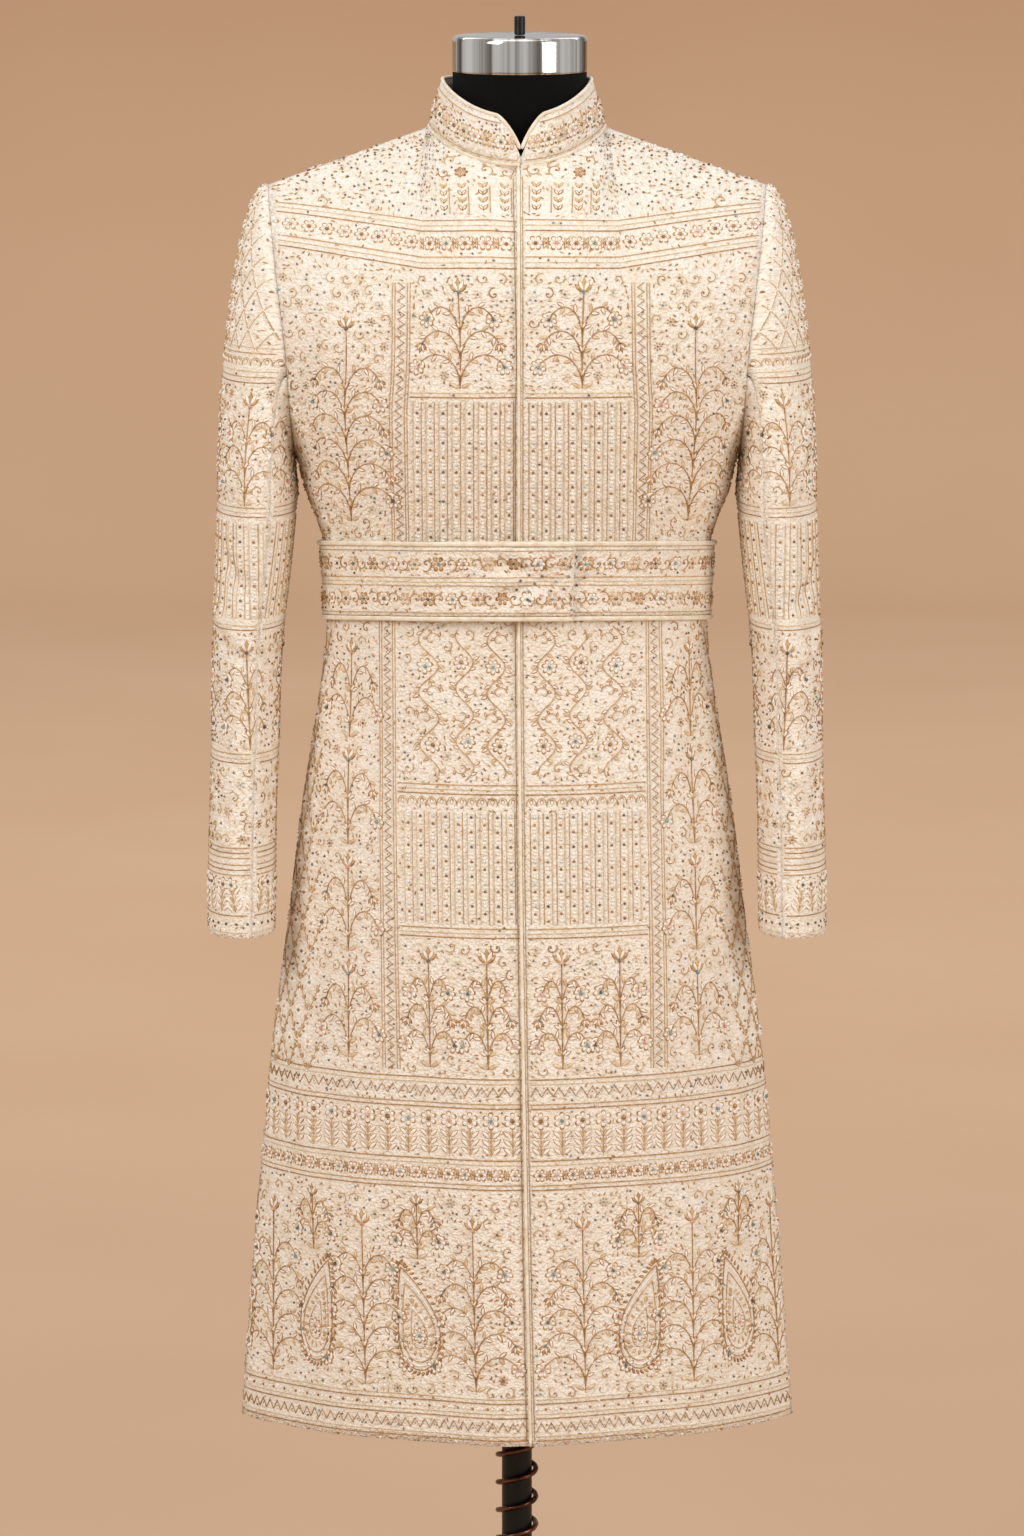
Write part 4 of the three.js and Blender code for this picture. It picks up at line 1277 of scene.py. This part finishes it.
def zigzag(work, start, end, height, pitch):
    """A zigzag cord along a line, with a bead in each bay."""
    start, length, toward, aside = directions(start, end)
    count = max(int(length / pitch), 1)
    steps = np.arange(2 * count + 1)
    line = start + np.outer(steps * length / (2 * count), toward)
    line = line + np.outer(np.where(steps % 2, 0.5, -0.5) * height, aside)
    work.cord(line[:, 0], line[:, 1], "gold", 1.4)
    for index in range(1, 2 * count, 2):
        at = line[index] - aside * 0.62 * height
        work.bead(*at, 1.9, "pearl" if index % 4 == 1 else "amber")


def chain(work, start, end, size):
    """A row of leaf pairs, foot to tip, with a bead between them."""
    length = math.dist(start, end)
    count = max(int(length / size), 1)
    turn = math.atan2(end[1] - start[1], end[0] - start[0])
    for step in range(count):
        share = (step + 0.1) / count
        p, q = lerp(start[0], end[0], share), lerp(start[1], end[1], share)
        work.leaves(p, q, turn, -0.62, 0.86 * size, 0.36 * size, ("ivory", "cream")[step % 2])
        work.bead(p, q, 0.26 * size, "amber")


def scallops(work, start, end, size):
    """A row of small arches standing on a line, each with a petal in it."""
    start, length, toward, aside = directions(start, end)
    count = max(int(length / size), 1)
    wide = length / count
    turn = math.atan2(aside[1], aside[0])
    angle = np.linspace(math.pi, 0, 7)
    for step in range(count):
        middle = start + toward * wide * (step + 0.5)
        arch = middle + np.outer(np.cos(angle) * wide / 2, toward)
        arch = arch + np.outer(np.sin(angle) * size * 0.8, aside)
        work.cord(arch[:, 0], arch[:, 1], "beige", 1.1)
        work.leaf(*middle, turn, 0.6 * size, 0.42 * size, "ivory", "petal")


def striped_beads(work, low, high, left, right, pitch):
    """Upright stripes: a pair of cords, then a column of stones and beads."""
    for index, p in enumerate(np.arange(left, right, pitch)):
        work.line((p - 0.32 * pitch, low), (p - 0.32 * pitch, high), "beige", 1.2)
        work.line((p + 0.32 * pitch, low), (p + 0.32 * pitch, high), "cream", 1.4)
        stones = ("amber", "pearl", "brown", "pearl") if index % 2 else ("pearl", "amber", "silver")
        for step, q in enumerate(np.arange(low + 3, high - 2, 6.5)):
            work.bead(p, q, 2.8, stones[step % len(stones)], "pearl")
            work.leaves(p, q + 1.6, math.pi / 2, 0.5, 3.4, 1.6, "ivory")


TRELLIS_EYES = ("coral", "amber", "teal", "amber")


def trellis(work, left, right, low, high, wide, tall, eyes=TRELLIS_EYES):
    """Diamonds of leafy cord, each round a small flower."""
    rows = int((high - low) / tall) + 1
    columns = int((right - left) / wide) + 1
    for row in range(rows):
        for column in range(columns):
            p = left + wide * (column + 0.5 * (row % 2))
            q = low + tall * (row + 0.5)
            for hand in (-1, 1):
                start = p, q - tall
                end = p + hand * wide / 2, q
                work.line(start, end, "beige", 1.2, 6)
                turn = math.atan2(end[1] - start[1], end[0] - start[0])
                for share in (0.12, 0.42, 0.72):
                    at = lerp(start[0], end[0], share), lerp(start[1], end[1], share)
                    work.leaves(*at, turn, 0.6, 0.16 * wide, 0.07 * wide, "ivory", "cream")
            eye = eyes[(row * 3 + column * 5) % len(eyes)]
            flower(work, p, q, 0.2 * wide, 6, "ivory", eye, 0.5 * (row + column))
            work.bead(p, q - tall, 2.4, "pearl", "pearl")


def vine(work, start, end, wave, pitch):
    """A winding stem with a scroll or a flower in each bend, and leaves along it."""
    start, length, toward, aside = directions(start, end)
    heading = math.atan2(toward[1], toward[0])
    eyes = ("amber", "teal", "coral", "amber")
    run = np.arange(0, length, 4.0)
    sway = wave * np.sin(2 * math.pi * run / pitch)
    line = start + np.outer(run, toward) + np.outer(sway, aside)
    work.cord(line[:, 0], line[:, 1], "beige", 1.5)
    bends = int(2 * length / pitch)
    for bend in range(bends):
        hand = 1 if bend % 2 == 0 else -1
        middle = start + toward * pitch * (bend / 2 + 0.25) - aside * hand * 0.35 * wave
        if bend % 3 == 1:
            flower(work, *middle, 0.52 * wave + 2.5, 7, "ivory", eyes[bend % len(eyes)], heading)
        else:
            scroll(work, *middle, 0.62 * wave + 2, heading - hand * 1.6, -hand, "beige", "ivory")
        for share in (0.1, 0.3, 0.5, 0.72):
            at = pitch * (bend + share * 2) / 2
            if at >= length:
                continue
            across = wave * math.sin(2 * math.pi * at / pitch)
            foot = start + toward * at + aside * across
            side = hand if share < 0.6 else -hand
            work.leaf(*foot, heading + side * 1.1, 7, 3.1, "ivory" if share < 0.4 else "cream")


def meadow(work, left, right, low, high, pitch):
    """All-over flowers and scrolls, set on a loose honeycomb wherever there is room."""
    eyes = ("amber", "brown", "teal", "coral", "brown")
    rows = int((high - low) / (0.86 * pitch)) + 1
    columns = int((right - left) / pitch) + 1
    for row in range(rows):
        for column in range(columns):
            shift = work.random.uniform(-0.13, 0.13, 2) * pitch
            p = left + pitch * (column + 0.5 * (row % 2)) + shift[0]
            q = low + 0.86 * pitch * row + shift[1]
            start = work.random.uniform(0, 2 * math.pi)
            kind = (row * 2 + column) % 5
            eye = eyes[(row * 3 + column * 7) % len(eyes)]
            if not (left < p < right and low < q < high) or not work.is_free(p, q, 0.3 * pitch):
                continue
            if kind in (0, 3):
                thread = ("cream", "ivory", "beige")[(row + column) % 3]
                flower(work, p, q, 0.31 * pitch, 5 + (row + column) % 3, thread, eye, start)
            else:
                hand = 1 if kind == 1 else -1
                thread = "gold" if kind == 4 else "beige"
                scroll(work, p, q, 0.4 * pitch, start, hand, thread, "cream", "amber")


def filling(work, left, right, low, high, pitch=4.6):
    """Small leaves, knots and beads wherever the cloth is still bare, set along a slow swirl."""
    for q in np.arange(low, high, pitch):
        for p in np.arange(left, right, pitch):
            at_p, at_q = work.random.uniform(-0.3, 0.3, 2) * pitch + (p, q)
            choice = work.random.random()
            if not work.is_free(at_p, at_q, 0.9):
                continue
            swirl = 1.7 * math.sin(at_p / 17) + 1.9 * math.cos(at_q / 21) + at_p / 60
            if choice < 0.6:
                thread = ("gold", "ivory", "beige", "cream", "beige", "gold")[int(choice * 10)]
                work.put("leaf", at_p, at_q, swirl, 5.2, 2.1, 1.8, thread)
            elif choice < 0.82:
                kinds = ("brown", "amber", "teal", "amber", "coral", "brown", "amber")
                work.bead(at_p, at_q, 2.5, kinds[int((choice - 0.6) / 0.22 * 6.99)], "stone")
            elif choice < 0.92:
                work.bead(at_p, at_q, 2.1, "pearl", "pearl")


def ruled(work, q, left, right, gaps):
    """Level cords across a panel."""
    for index, up in enumerate(gaps):
        thread = ("gold", "cream", "beige")[index % 3]
        work.line((left, q + up), (right, q + up), thread, 1.5)


def blossom_row(work, left, right, q, pitch, size, eyes=("amber", "coral", "amber", "teal")):
    """A level row of flowers with leaves between them."""
    for index, p in enumerate(np.arange(left + pitch / 2, right, pitch)):
        flower(work, p, q, size, 6, "ivory", eyes[index % len(eyes)])
        for turn in (math.pi / 2, -math.pi / 2):
            work.leaves(p + pitch / 2, q, turn, 0.35, 0.9 * size, 0.36 * size, "cream", "ivory")
        work.bead(p + pitch / 2, q, 2.2, "amber")


# ------------------------------------------------------------------ the design of each piece

BELT_COVERS = (1112, 1140)  # heights that the belt hides all round
HEM_BORDER = 412
BAND_FOOT = 627
BAND_TOP = 699
SKIRT_FOOT = 705
CHEST_FOOT = 1166
ABOVE_ALL = 1560  # higher than any shoulder
BODY_REACH = 330  # further to either side than any panel
YOKE = {"foot": 1413, "flowers": 1435.5, "level_to": 90, "slope": 0.16}
YOKE_CORDS = ((0, "gold"), (5, "cream"), (10, "beige"), (34, "gold"), (39, "cream"), (44, "beige"))
MIXED = ("coral", "teal", "brown")  # stones of a bouquet


def hem_border(work, left, right):
    ruled(work, HEM_Z, left, right, (5, 9))
    zigzag(work, (left, 389), (right, 389), 8, 9)
    ruled(work, HEM_Z, left, right, (25, 29))
    work.bead_line((left, 405), (right, 405), 4.5, 2.6, ("pearl", "pearl", "amber"), "pearl")
    ruled(work, HEM_BORDER, left, right, (-2, 2))


def skirt_bands(work, left, right):
    """The lower skirt's bands: zigzag, a row of sprigs, and a ruled border under them."""
    ruled(work, BAND_TOP, left, right, (0, -4, -22, -26))
    zigzag(work, (left, 688), (right, 688), 8, 10)
    for index, p in enumerate(np.arange(left + 9, right, 19)):
        sprig(work, p, 631, 38, math.pi / 2, eye=("amber", "teal", "amber", "coral")[index % 4])
    ruled(work, BAND_FOOT, left, right, (0, -4, -22, -26))
    blossom_row(work, left, right, 614, 15, 5.5)


def skirt_field(work, left, right):
    """Tall bouquets and slender paisleys by turns, between the bands and the hem."""
    for index, p in enumerate(np.arange(left + 46, right, 104)):
        bouquet(work, p, 420, 172, 78, MIXED)
        paisley(work, p + 52, 436, 92, 40, (1, -1)[index % 2], ("teal", "coral")[index % 2])
        bouquet(work, p + 52, 536, 58, 40, ("brown", "teal"))
    meadow(work, left, right, 418, 596, 15)


def closing_lines(work):
    """A thin cord beside the closing edge, further from it on the front that laps under."""
    laps_under = work.chart.starts[0] < -1
    first = 5.2 if laps_under else 1.4
    work.line((first, HEM_Z), (first, 1500), "beige", 1)


def side_column(work, p, low, high):
    """An upright border of zigzag between two pairs of cords."""
    for aside in (-8, -5.5, 5.5, 8):
        work.line((p + aside, low), (p + aside, high), "beige", 1.2)
    zigzag(work, (p, low), (p, high), 6, 8)


def yoke(work, left, right):
    """Level bands under the neck, which rise towards the shoulder."""
    bend, slope = YOKE["level_to"], YOKE["slope"]
    for up, thread in YOKE_CORDS:
        q = YOKE["foot"] + up
        work.line((left, q), (bend, q), thread, 1.5)
        work.line((bend, q), (right, q + slope * (right - bend)), thread, 1.5)
    blossom_row(work, left, bend + 2, YOKE["flowers"], 17, 6.5)
    for index, p in enumerate(np.arange(bend + 10, right, 15)):
        eye = ("amber", "coral", "amber")[index % 3]
        flower(work, p, YOKE["flowers"] + slope * (p - bend), 6.0, 6, "ivory", eye)


def neck_and_shoulder(work, left, right):
    """Leaf chains hang under the collar, and stones lie in rising rows over the shoulder."""
    for p in np.arange(left + 9, 80, 17):
        work.line((p - 5.5, 1464), (p - 5.5, 1490), "beige", 1.2)
        chain(work, (p, 1466), (p, 1496), 7.5)
    for index, q in enumerate(np.arange(1470, ABOVE_ALL, 11)):
        for p in np.arange(70 + 6 * (index % 2), right, 13):
            stone = "brown" if (index + int(p)) % 3 else "silver"
            work.bead(p, q + 0.2 * (p - YOKE["level_to"]), 2.6, stone, "stone")
    meadow(work, left, right, 1462, ABOVE_ALL, 17)


def chest(work, left, right):
    """A bouquet over hanging stripes, and a tall one near the armhole."""
    bouquet(work, 54, 1308, 100, 78, ("teal", "coral", "brown"))
    bouquet(work, 158, 1186, 206, 88, ("brown", "coral", "teal"))
    striped_beads(work, CHEST_FOOT, 1296, left + 7, 96, 11.5)
    ruled(work, 1300, left, 98, (0, 4))
    side_column(work, 108, CHEST_FOOT, 1400)
    meadow(work, left, right, 1162, 1408, 14)


def upper_skirt(work, left, right):
    """Leafy vines, then stripes, then plants; a column of plants at the side."""
    side_column(work, 122, SKIRT_FOOT, 1100)
    vine(work, (22, 1096), (22, 962), 8, 46)
    vine(work, (50, 962), (50, 1096), 8, 46)
    vine(work, (82, 1096), (82, 962), 9, 46)
    ruled(work, 950, left, 112, (0, 4, 8))
    scallops(work, (left, 940), (112, 940), 9)
    striped_beads(work, 836, 934, left + 7, 110, 11.5)
    ruled(work, 824, left, 112, (0, 4, 8))
    bouquet(work, 33, 708, 112, 46, ("coral", "teal"))
    bouquet(work, 86, 708, 112, 46, ("brown", "coral"))
    for index, q in enumerate(np.arange(712, 1080, 94)):
        stones = (("teal", "coral", "brown"), ("coral", "brown", "teal"))[index % 2]
        bouquet(work, 164, q, 88, 62, stones)
    trellis(work, 210, right, 708, 1100, 26, 26)
    meadow(work, left, right, 706, 1108, 14)


def dress_front(work):
    left, right = 3.5, BODY_REACH
    closing_lines(work)
    for part in (yoke, neck_and_shoulder, chest, upper_skirt, skirt_bands, skirt_field, hem_border):
        part(work, left, right)
    filling(work, left, right, HEM_Z, ABOVE_ALL)


def dress_back(work):
    left, right = -BODY_REACH, BODY_REACH
    for up, thread in YOKE_CORDS:
        work.line((left, YOKE["foot"] + up), (right, YOKE["foot"] + up), thread, 1.5)
    blossom_row(work, left, right, YOKE["flowers"], 17, 6.5)
    for p in (-152, -54, 54, 152):
        bouquet(work, p, 1272, 130, 76, MIXED)
    ruled(work, 1262, left, right, (0, 4))
    striped_beads(work, 1160, 1254, left + 100, right - 100, 13)
    for p in (-122, 122):
        side_column(work, p, SKIRT_FOOT, 1096)
    for q in np.arange(722, 1080, 92):
        for p in (-166, -76, 0, 76, 166):
            bouquet(work, p, q, 86, 58, ("teal", "coral", "brown"))
    trellis(work, -300, -204, 708, 1090, 27, 27)
    trellis(work, 210, right, 708, 1090, 27, 27)
    for part in (skirt_bands, skirt_field, hem_border):
        part(work, left, right)
    meadow(work, left, right, HEM_Z, ABOVE_ALL, 18)
    filling(work, left, right, HEM_Z, ABOVE_ALL, 6.6)


def dress_sleeve(work):
    """Diamonds over the head, bands at the upper arm, flowers, stripes, and a ruled cuff."""
    left, right = -140, 140
    trellis(work, left, right, 1345, 1480, 20, 18, ("brown", "amber", "brown", "coral"))
    for up in (0, 5, 10, 26, 31):
        work.line((left, 1308 + up), (right, 1308 + up), ("gold", "cream", "beige")[up % 3], 1.5)
    scallops(work, (left, 1323), (right, 1323), 9)
    for p in (-80, 0, 80):
        bouquet(work, p, 1200, 104, 62, MIXED)
    ruled(work, 1190, left, right, (0, 4, 8))
    striped_beads(work, 1100, 1184, left, right, 13)
    ruled(work, 1090, left, right, (0, 4))
    for p in (-80, 0, 80):
        bouquet(work, p, 984, 102, 56, ("brown", "teal", "coral"))
    ruled(work, 972, left, right, (0, 4, 8))
    meadow(work, left, right, 904, 968, 14)
    for up in (873, 877.5, 882, 888, 892.5, 897):
        work.line((left, up), (right, up), "gold" if up in (877.5, 892.5) else "beige", 1.6)
    for index, p in enumerate(np.arange(left + 5, right, 15)):
        sprig(work, p, 840, 30, math.pi / 2 + 0.12 * (-1) ** index, eye=("amber", "brown")[index % 2])
    ruled(work, 837, left, right, (0, -15))
    work.bead_line((left, 829.5), (right, 829.5), 5, 2.8, ("brown", "pearl"), "pearl")
    meadow(work, left, right, 985, 1480, 14)
    filling(work, left, right, CUFF_Z, 1500)


def dress_collar(work):
    left, right = -260, 260
    for q in (3, 34.5):
        work.line((left, q), (right, q), "beige", 1.4)
    for index, p in enumerate(np.arange(left + 4, right, 13)):
        flower(work, p, 18, 6.4, 6, ("cream", "ivory")[index % 2], ("amber", "brown", "coral")[index % 3])
        work.bead(p + 6.5, 25, 2.6, "amber", "pearl")
        work.bead(p + 6.5, 13, 2.6, "brown", "stone")
    filling(work, left, right, 1, 38, 4.4)


def dress_belt(work):
    """Two rows of blossoms and scrolls, with clusters of stones where the belt is drawn in."""
    left, right = -1100, 200
    for q, thread in ((-3.6, "beige"), (0, "cream"), (3.6, "beige"), (-27.5, "beige"), (27.5, "beige")):
        work.line((left, q), (right, q), thread, 1.3)
    for middle in (92, -822):
        for step in range(26):
            angle = 2.4 * step
            reach = 6 * math.sqrt(step + 1)
            at = middle + reach * math.cos(angle), 0.8 * reach * math.sin(angle)
            work.bead(*at, 3.2, ("teal", "brown", "amber", "coral")[step % 4], "stone")
    for index, p in enumerate(np.arange(left + 6, right, 22)):
        for q in (-15.5, 15.5):
            eye = ("coral", "brown", "teal", "amber")[(index + (q > 0)) % 4]
            thread = ("cream", "beige", "ivory")[index % 3]
            at, beside, hand = (p + 11, p, 1) if q > 0 else (p, p + 11, -1)
            flower(work, at, q, 5.4 + index % 2, 6, thread, eye)
            scroll(work, beside, q, 6.6, 0.6 * index, hand, "gold", "cream", "amber")
    filling(work, left, right, -29, 29, 4.6)


# ------------------------------------------------------------------ pieces of the coat


def cloth_piece(node, chart, keep, dress, held="draped", bare=None, thickness=CLOTH):
    """A cloth shell in place of its node, which it hides, with its needlework. It works out the size and
    area of its cut but does nothing with them.
    """
    skip = 1 if held == "hung" or node == "belt" else 2
    shell = cloth_wall(f"{node}_cloth", chart, thickness, SILK, keep, skip)
    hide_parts(node)
    work = Needlework(chart, bare)
    dress(work)
    stitches = work.made(f"{node}_needlework", THREAD_MATERIALS)
    cut = (chart.widths.max() * MM, chart.length() * MM)
    area = min(chart.area() * MM * MM, cut[0] * cut[1])
    return shell


def coat():
    for side in ("left", "right"):
        chart = front_chart(side)
        cloth_piece(f"front_{side}", chart, keep_to("front"), dress_front, bare=BELT_COVERS)
    cloth_piece("back", back_chart(), keep_to("back"), dress_back, bare=BELT_COVERS)
    for side in ("left", "right"):
        for part in ("top", "under"):
            chart = sleeve_chart(side, part)
            cloth_piece(f"sleeve_{side}_{part}", chart, None, dress_sleeve, held="hung")
    cloth_piece("collar", collar_chart(), None, dress_collar)
    cloth_piece(
        "belt", belt_chart(), None, dress_belt, thickness=BELT["cloth"]
    )


def front_piping(material):
    chart = front_chart("left")
    path = chart.points[:, 0] - EDGE_CORD_SINK * chart.normals[:, 0]
    path = path - [EDGE_CORD, 0, 0]
    made = tube("front_cord", path, 0.8 * EDGE_CORD, 12, [1, 0, 0], material)
    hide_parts("front_piping")
    return made


def collar_piping(material):
    share = np.linspace(0, 1, 241)
    share = share - 0.09 * np.sin(2 * math.pi * share)  # closer together at the front corners
    turn = lerp(COLLAR_GAP_TURN, 2 * math.pi - COLLAR_GAP_TURN, share)
    edge = collar_point(turn, collar_height(turn))
    along = unit(edge[2:] - edge[:-2])
    outward = unit(edge[1:-1] * [1, 1, 0])
    away = unit(np.cross(outward, along))
    path = edge[1:-1] - outward * CLOTH / 2 + away * 0.5 * COLLAR_CORD
    made = tube("collar_cord", path[1:-1], 0.85 * COLLAR_CORD, 12, [0, 0, 1], material)
    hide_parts("collar_piping")
    return made


def collar_seams(material):
    """The welt that joins the collar's foot to the neckline, and the binding inside it."""
    turn = np.linspace(0.004, 2 * math.pi - 0.004, 241)
    foot = collar_point(turn, 0 * turn)
    outward = unit(foot * [1, 1, 0])
    made = []
    for name, inside, below, radius in (("welt", 0.9, 0.9, 1.7), ("binding", 3.9, 2.2, 2.8)):
        path = foot - outward * inside - [0, 0, below]
        made.append(tube(f"collar_{name}", path, radius, 10, [0, 0, 1], material))
    return made


def belt_piping(sign, node, material):
    turn = np.linspace(BELT_START, BELT_END, 300)
    up = sign * (BELT["height"] / 2 + SEAM_GAP + BELT_CORD)
    path = belt_point(turn, up, BELT_CORD)
    made = tube(f"{node}_cord", path, BELT_CORD, 12, [0, 0, 1], material)
    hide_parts(node)
    return made


def pipings():
    material = piping_finish()
    made = [front_piping(material), collar_piping(material), *collar_seams(material)]
    made.append(belt_piping(1, "belt_piping_top", material))
    made.append(belt_piping(-1, "belt_piping_bottom", material))


# ------------------------------------------------------------------ dress form and stand


def form_torso(material):
    """The padded torso, which keeps clear of the coat, and its neck."""
    body = np.linspace(FORM["z"][0], 1450, 47)
    shoulders = np.linspace(1458, 1534, 20)
    heights = np.concatenate([body, shoulders, [1545, 1560, FORM_TOP_Z - 2, FORM_TOP_Z]])
    angle = np.linspace(0, 2 * math.pi, 96, endpoint=False)[None]
    z = heights[:, None] + 0 * angle
    inner = 0 * z
    outer = inner + BODY["width"][0]
    for _ in range(24):
        middle = (inner + outer) / 2
        x, y = middle * np.cos(angle), middle * np.sin(angle)
        room = np.zeros(z.shape)
        for side in ("front", "back"):
            near = coat_depth(np.abs(x) + FORM_CLEARANCE, z + FORM_CLEARANCE, side) - FORM_CLEARANCE
            limit = np.minimum(section_depth(FORM, x, z, side), near)
            room = np.where((y < 0) == (side == "front"), limit, room)
        room = np.where(np.abs(x) + FORM_CLEARANCE > edge_x(z), 0, room)
        from_neck = np.hypot(x - NECK_CENTRE_X, y)
        in_neck = (z > SHOULDER["neck_z"] - FORM_NECK) & (from_neck <= FORM_NECK)
        is_in = (np.abs(y) < room) | in_neck
        inner = np.where(is_in, middle, inner)
        outer = np.where(is_in, outer, middle)
    rings = np.stack([inner * np.cos(angle), inner * np.sin(angle), z], -1)
    made = stack("form", rings, material)
    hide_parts("form_torso")
    return made


AXIS = 0.01  # a turned profile starts and ends this near its axis


def rod(radius, low, high):
    return [(AXIS, low), (radius, low), (radius, high), (AXIS, high)]


def neck_cap(material):
    foot = FORM_TOP_Z + REST_GAP
    radius, top, bevel = NECK_CAP["radius"], NECK_CAP["top"], NECK_CAP["bevel"]
    profile = [
        (AXIS, foot),
        (radius - 0.5, foot),
        (radius, foot + 1),
        (radius, top - bevel),
        (radius - bevel, top),
        (AXIS, top),
    ]
    made = turned("neck_cap_metal", rounded(profile, 2.4), material, 128, NECK_CENTRE_X)
    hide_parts("neck_cap")


def stand(black, wire):
    finial = rod(FINIAL["radius"], NECK_CAP["top"] + REST_GAP, FINIAL["top"])
    pole = rod(POLE["radius"], POLE["bottom"], FORM["z"][0] - REST_GAP)
    plate = [
        (AXIS, 0),
        (BASE["radius"], 0),
        (BASE["radius"], BASE["rim"]),
        (0.55 * BASE["radius"], lerp(BASE["rim"], BASE["dome"], 0.7)),
        (BASE["hub"] + 6, BASE["dome"]),
        (BASE["hub"], BASE["dome"] + 4),
        (BASE["hub"] - 3, BASE["hub_top"]),
        (AXIS, BASE["hub_top"]),
    ]
    pieces = (("cap_finial", finial, 1.5, NECK_CENTRE_X), ("pole", pole, 0.5, 0), ("base", plate, 3, 0))
    for node, profile, corner, centre_x in pieces:
        made = turned(f"{node}_metal", rounded(profile, corner), black, centre_x=centre_x)
        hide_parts(node)
    angle = np.linspace(0, 2 * math.pi * SPIRAL["turns"], SPIRAL["turns"] * 40)
    height = SPIRAL["bottom"] + SPIRAL["pitch"] * angle / (2 * math.pi)
    path = np.stack([SPIRAL["radius"] * np.cos(angle), SPIRAL["radius"] * np.sin(angle), height], -1)
    made = tube("pole_wire", path, SPIRAL["wire"], 8, [0, 0, 1], wire)
    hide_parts("pole_spiral")


# ------------------------------------------------------------------ camera, light and stage

CAMERA = {"place": (-0.0044, -7.45, 2.02), "tilt": 8.12, "lens": 198.4}


def camera():
    made = bpy.data.objects.new("camera", bpy.data.cameras.new("camera"))
    bpy.context.scene.collection.objects.link(made)
    made.location = CAMERA["place"]
    made.rotation_euler = (math.radians(90 - CAMERA["tilt"]), 0, 0)
    made.data.lens = CAMERA["lens"]
    made.data.sensor_width = 36
    bpy.context.scene.camera = made


# Area lights, in metres and watts, with the place that each one faces.
COAT_MIDDLE = (0, 0, 1.05)
LIGHTS = (
    ("key", (-2.6, -2.6, 3.0), (1.6, 2.2), 86, (1, 0.985, 0.965), COAT_MIDDLE),
    ("fill", (3.0, -2.4, 2.2), (1.6, 2.2), 72, (1, 0.985, 0.965), COAT_MIDDLE),
    ("top", (0, -0.2, 3.9), (2.4, 2.0), 18, (1, 0.985, 0.97), COAT_MIDDLE),
    ("backdrop", (0, 6.0, 5.0), (7.0, 8.0), 245, (1, 0.955, 0.91), (0, 7.8, 0)),
)
WORLD = {"Color": (1, 0.975, 0.95, 1), "Strength": 0.5}
STAGE = {"near": -12.0, "far": 8.9, "bend": 1.2, "half_width": 8.0, "top": 1.35}


def lights():
    scene = bpy.context.scene
    scene.view_settings.view_transform = "Standard"
    for name, place, size, power, colour, aim in LIGHTS:
        light = bpy.data.lights.new(name, "AREA")
        light.shape = "RECTANGLE"
        light.size, light.size_y = size
        light.energy = power
        light.color = colour
        made = bpy.data.objects.new(name, light)
        scene.collection.objects.link(made)
        made.location = place
        made.rotation_euler = (Vector(aim) - Vector(place)).to_track_quat("-Z", "Y").to_euler()
    scene.world = bpy.data.worlds.new("studio")
    scene.world.use_nodes = True
    for socket, value in WORLD.items():
        scene.world.node_tree.nodes["Background"].inputs[socket].default_value = value


def stage():
    """A long floor that turns up into a low backdrop, which the other views look over."""
    bend, wall = STAGE["bend"], STAGE["far"] + STAGE["bend"]
    floor = [(STAGE["near"], 0.0)]
    for turn in np.linspace(0, math.pi / 2, 17):
        floor.append((STAGE["far"] + bend * math.sin(turn), bend * (1 - math.cos(turn))))
    floor.append((wall, STAGE["top"]))
    points = [(x, y, z) for y, z in floor for x in (-STAGE["half_width"], STAGE["half_width"])]
    mesh = bpy.data.meshes.new("studio_floor")
    faces = [(2 * i, 2 * i + 1, 2 * i + 3, 2 * i + 2) for i in range(len(floor) - 1)]
    mesh.from_pydata(points, [], faces)
    mesh.polygons.foreach_set("use_smooth", np.ones(len(faces), bool))
    mesh.materials.append(stage_finish())
    made = bpy.data.objects.new("studio_floor", mesh)
    bpy.context.scene.collection.objects.link(made)
    made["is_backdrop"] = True


SILK = silk_finish()
THREAD_MATERIALS = [thread_finish(*row, **sockets) for *row, sockets in THREADS.values()]

camera()
lights()
stage()
BLACK = black_metal_finish()
form_torso(jersey_finish())
coat()
pipings()
neck_cap(chrome_finish())
stand(BLACK, wire_finish())

sizes = {"cad": cad_box, "visual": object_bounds()}
{name: [list(corner) for corner in box] for name, box in sizes.items()}
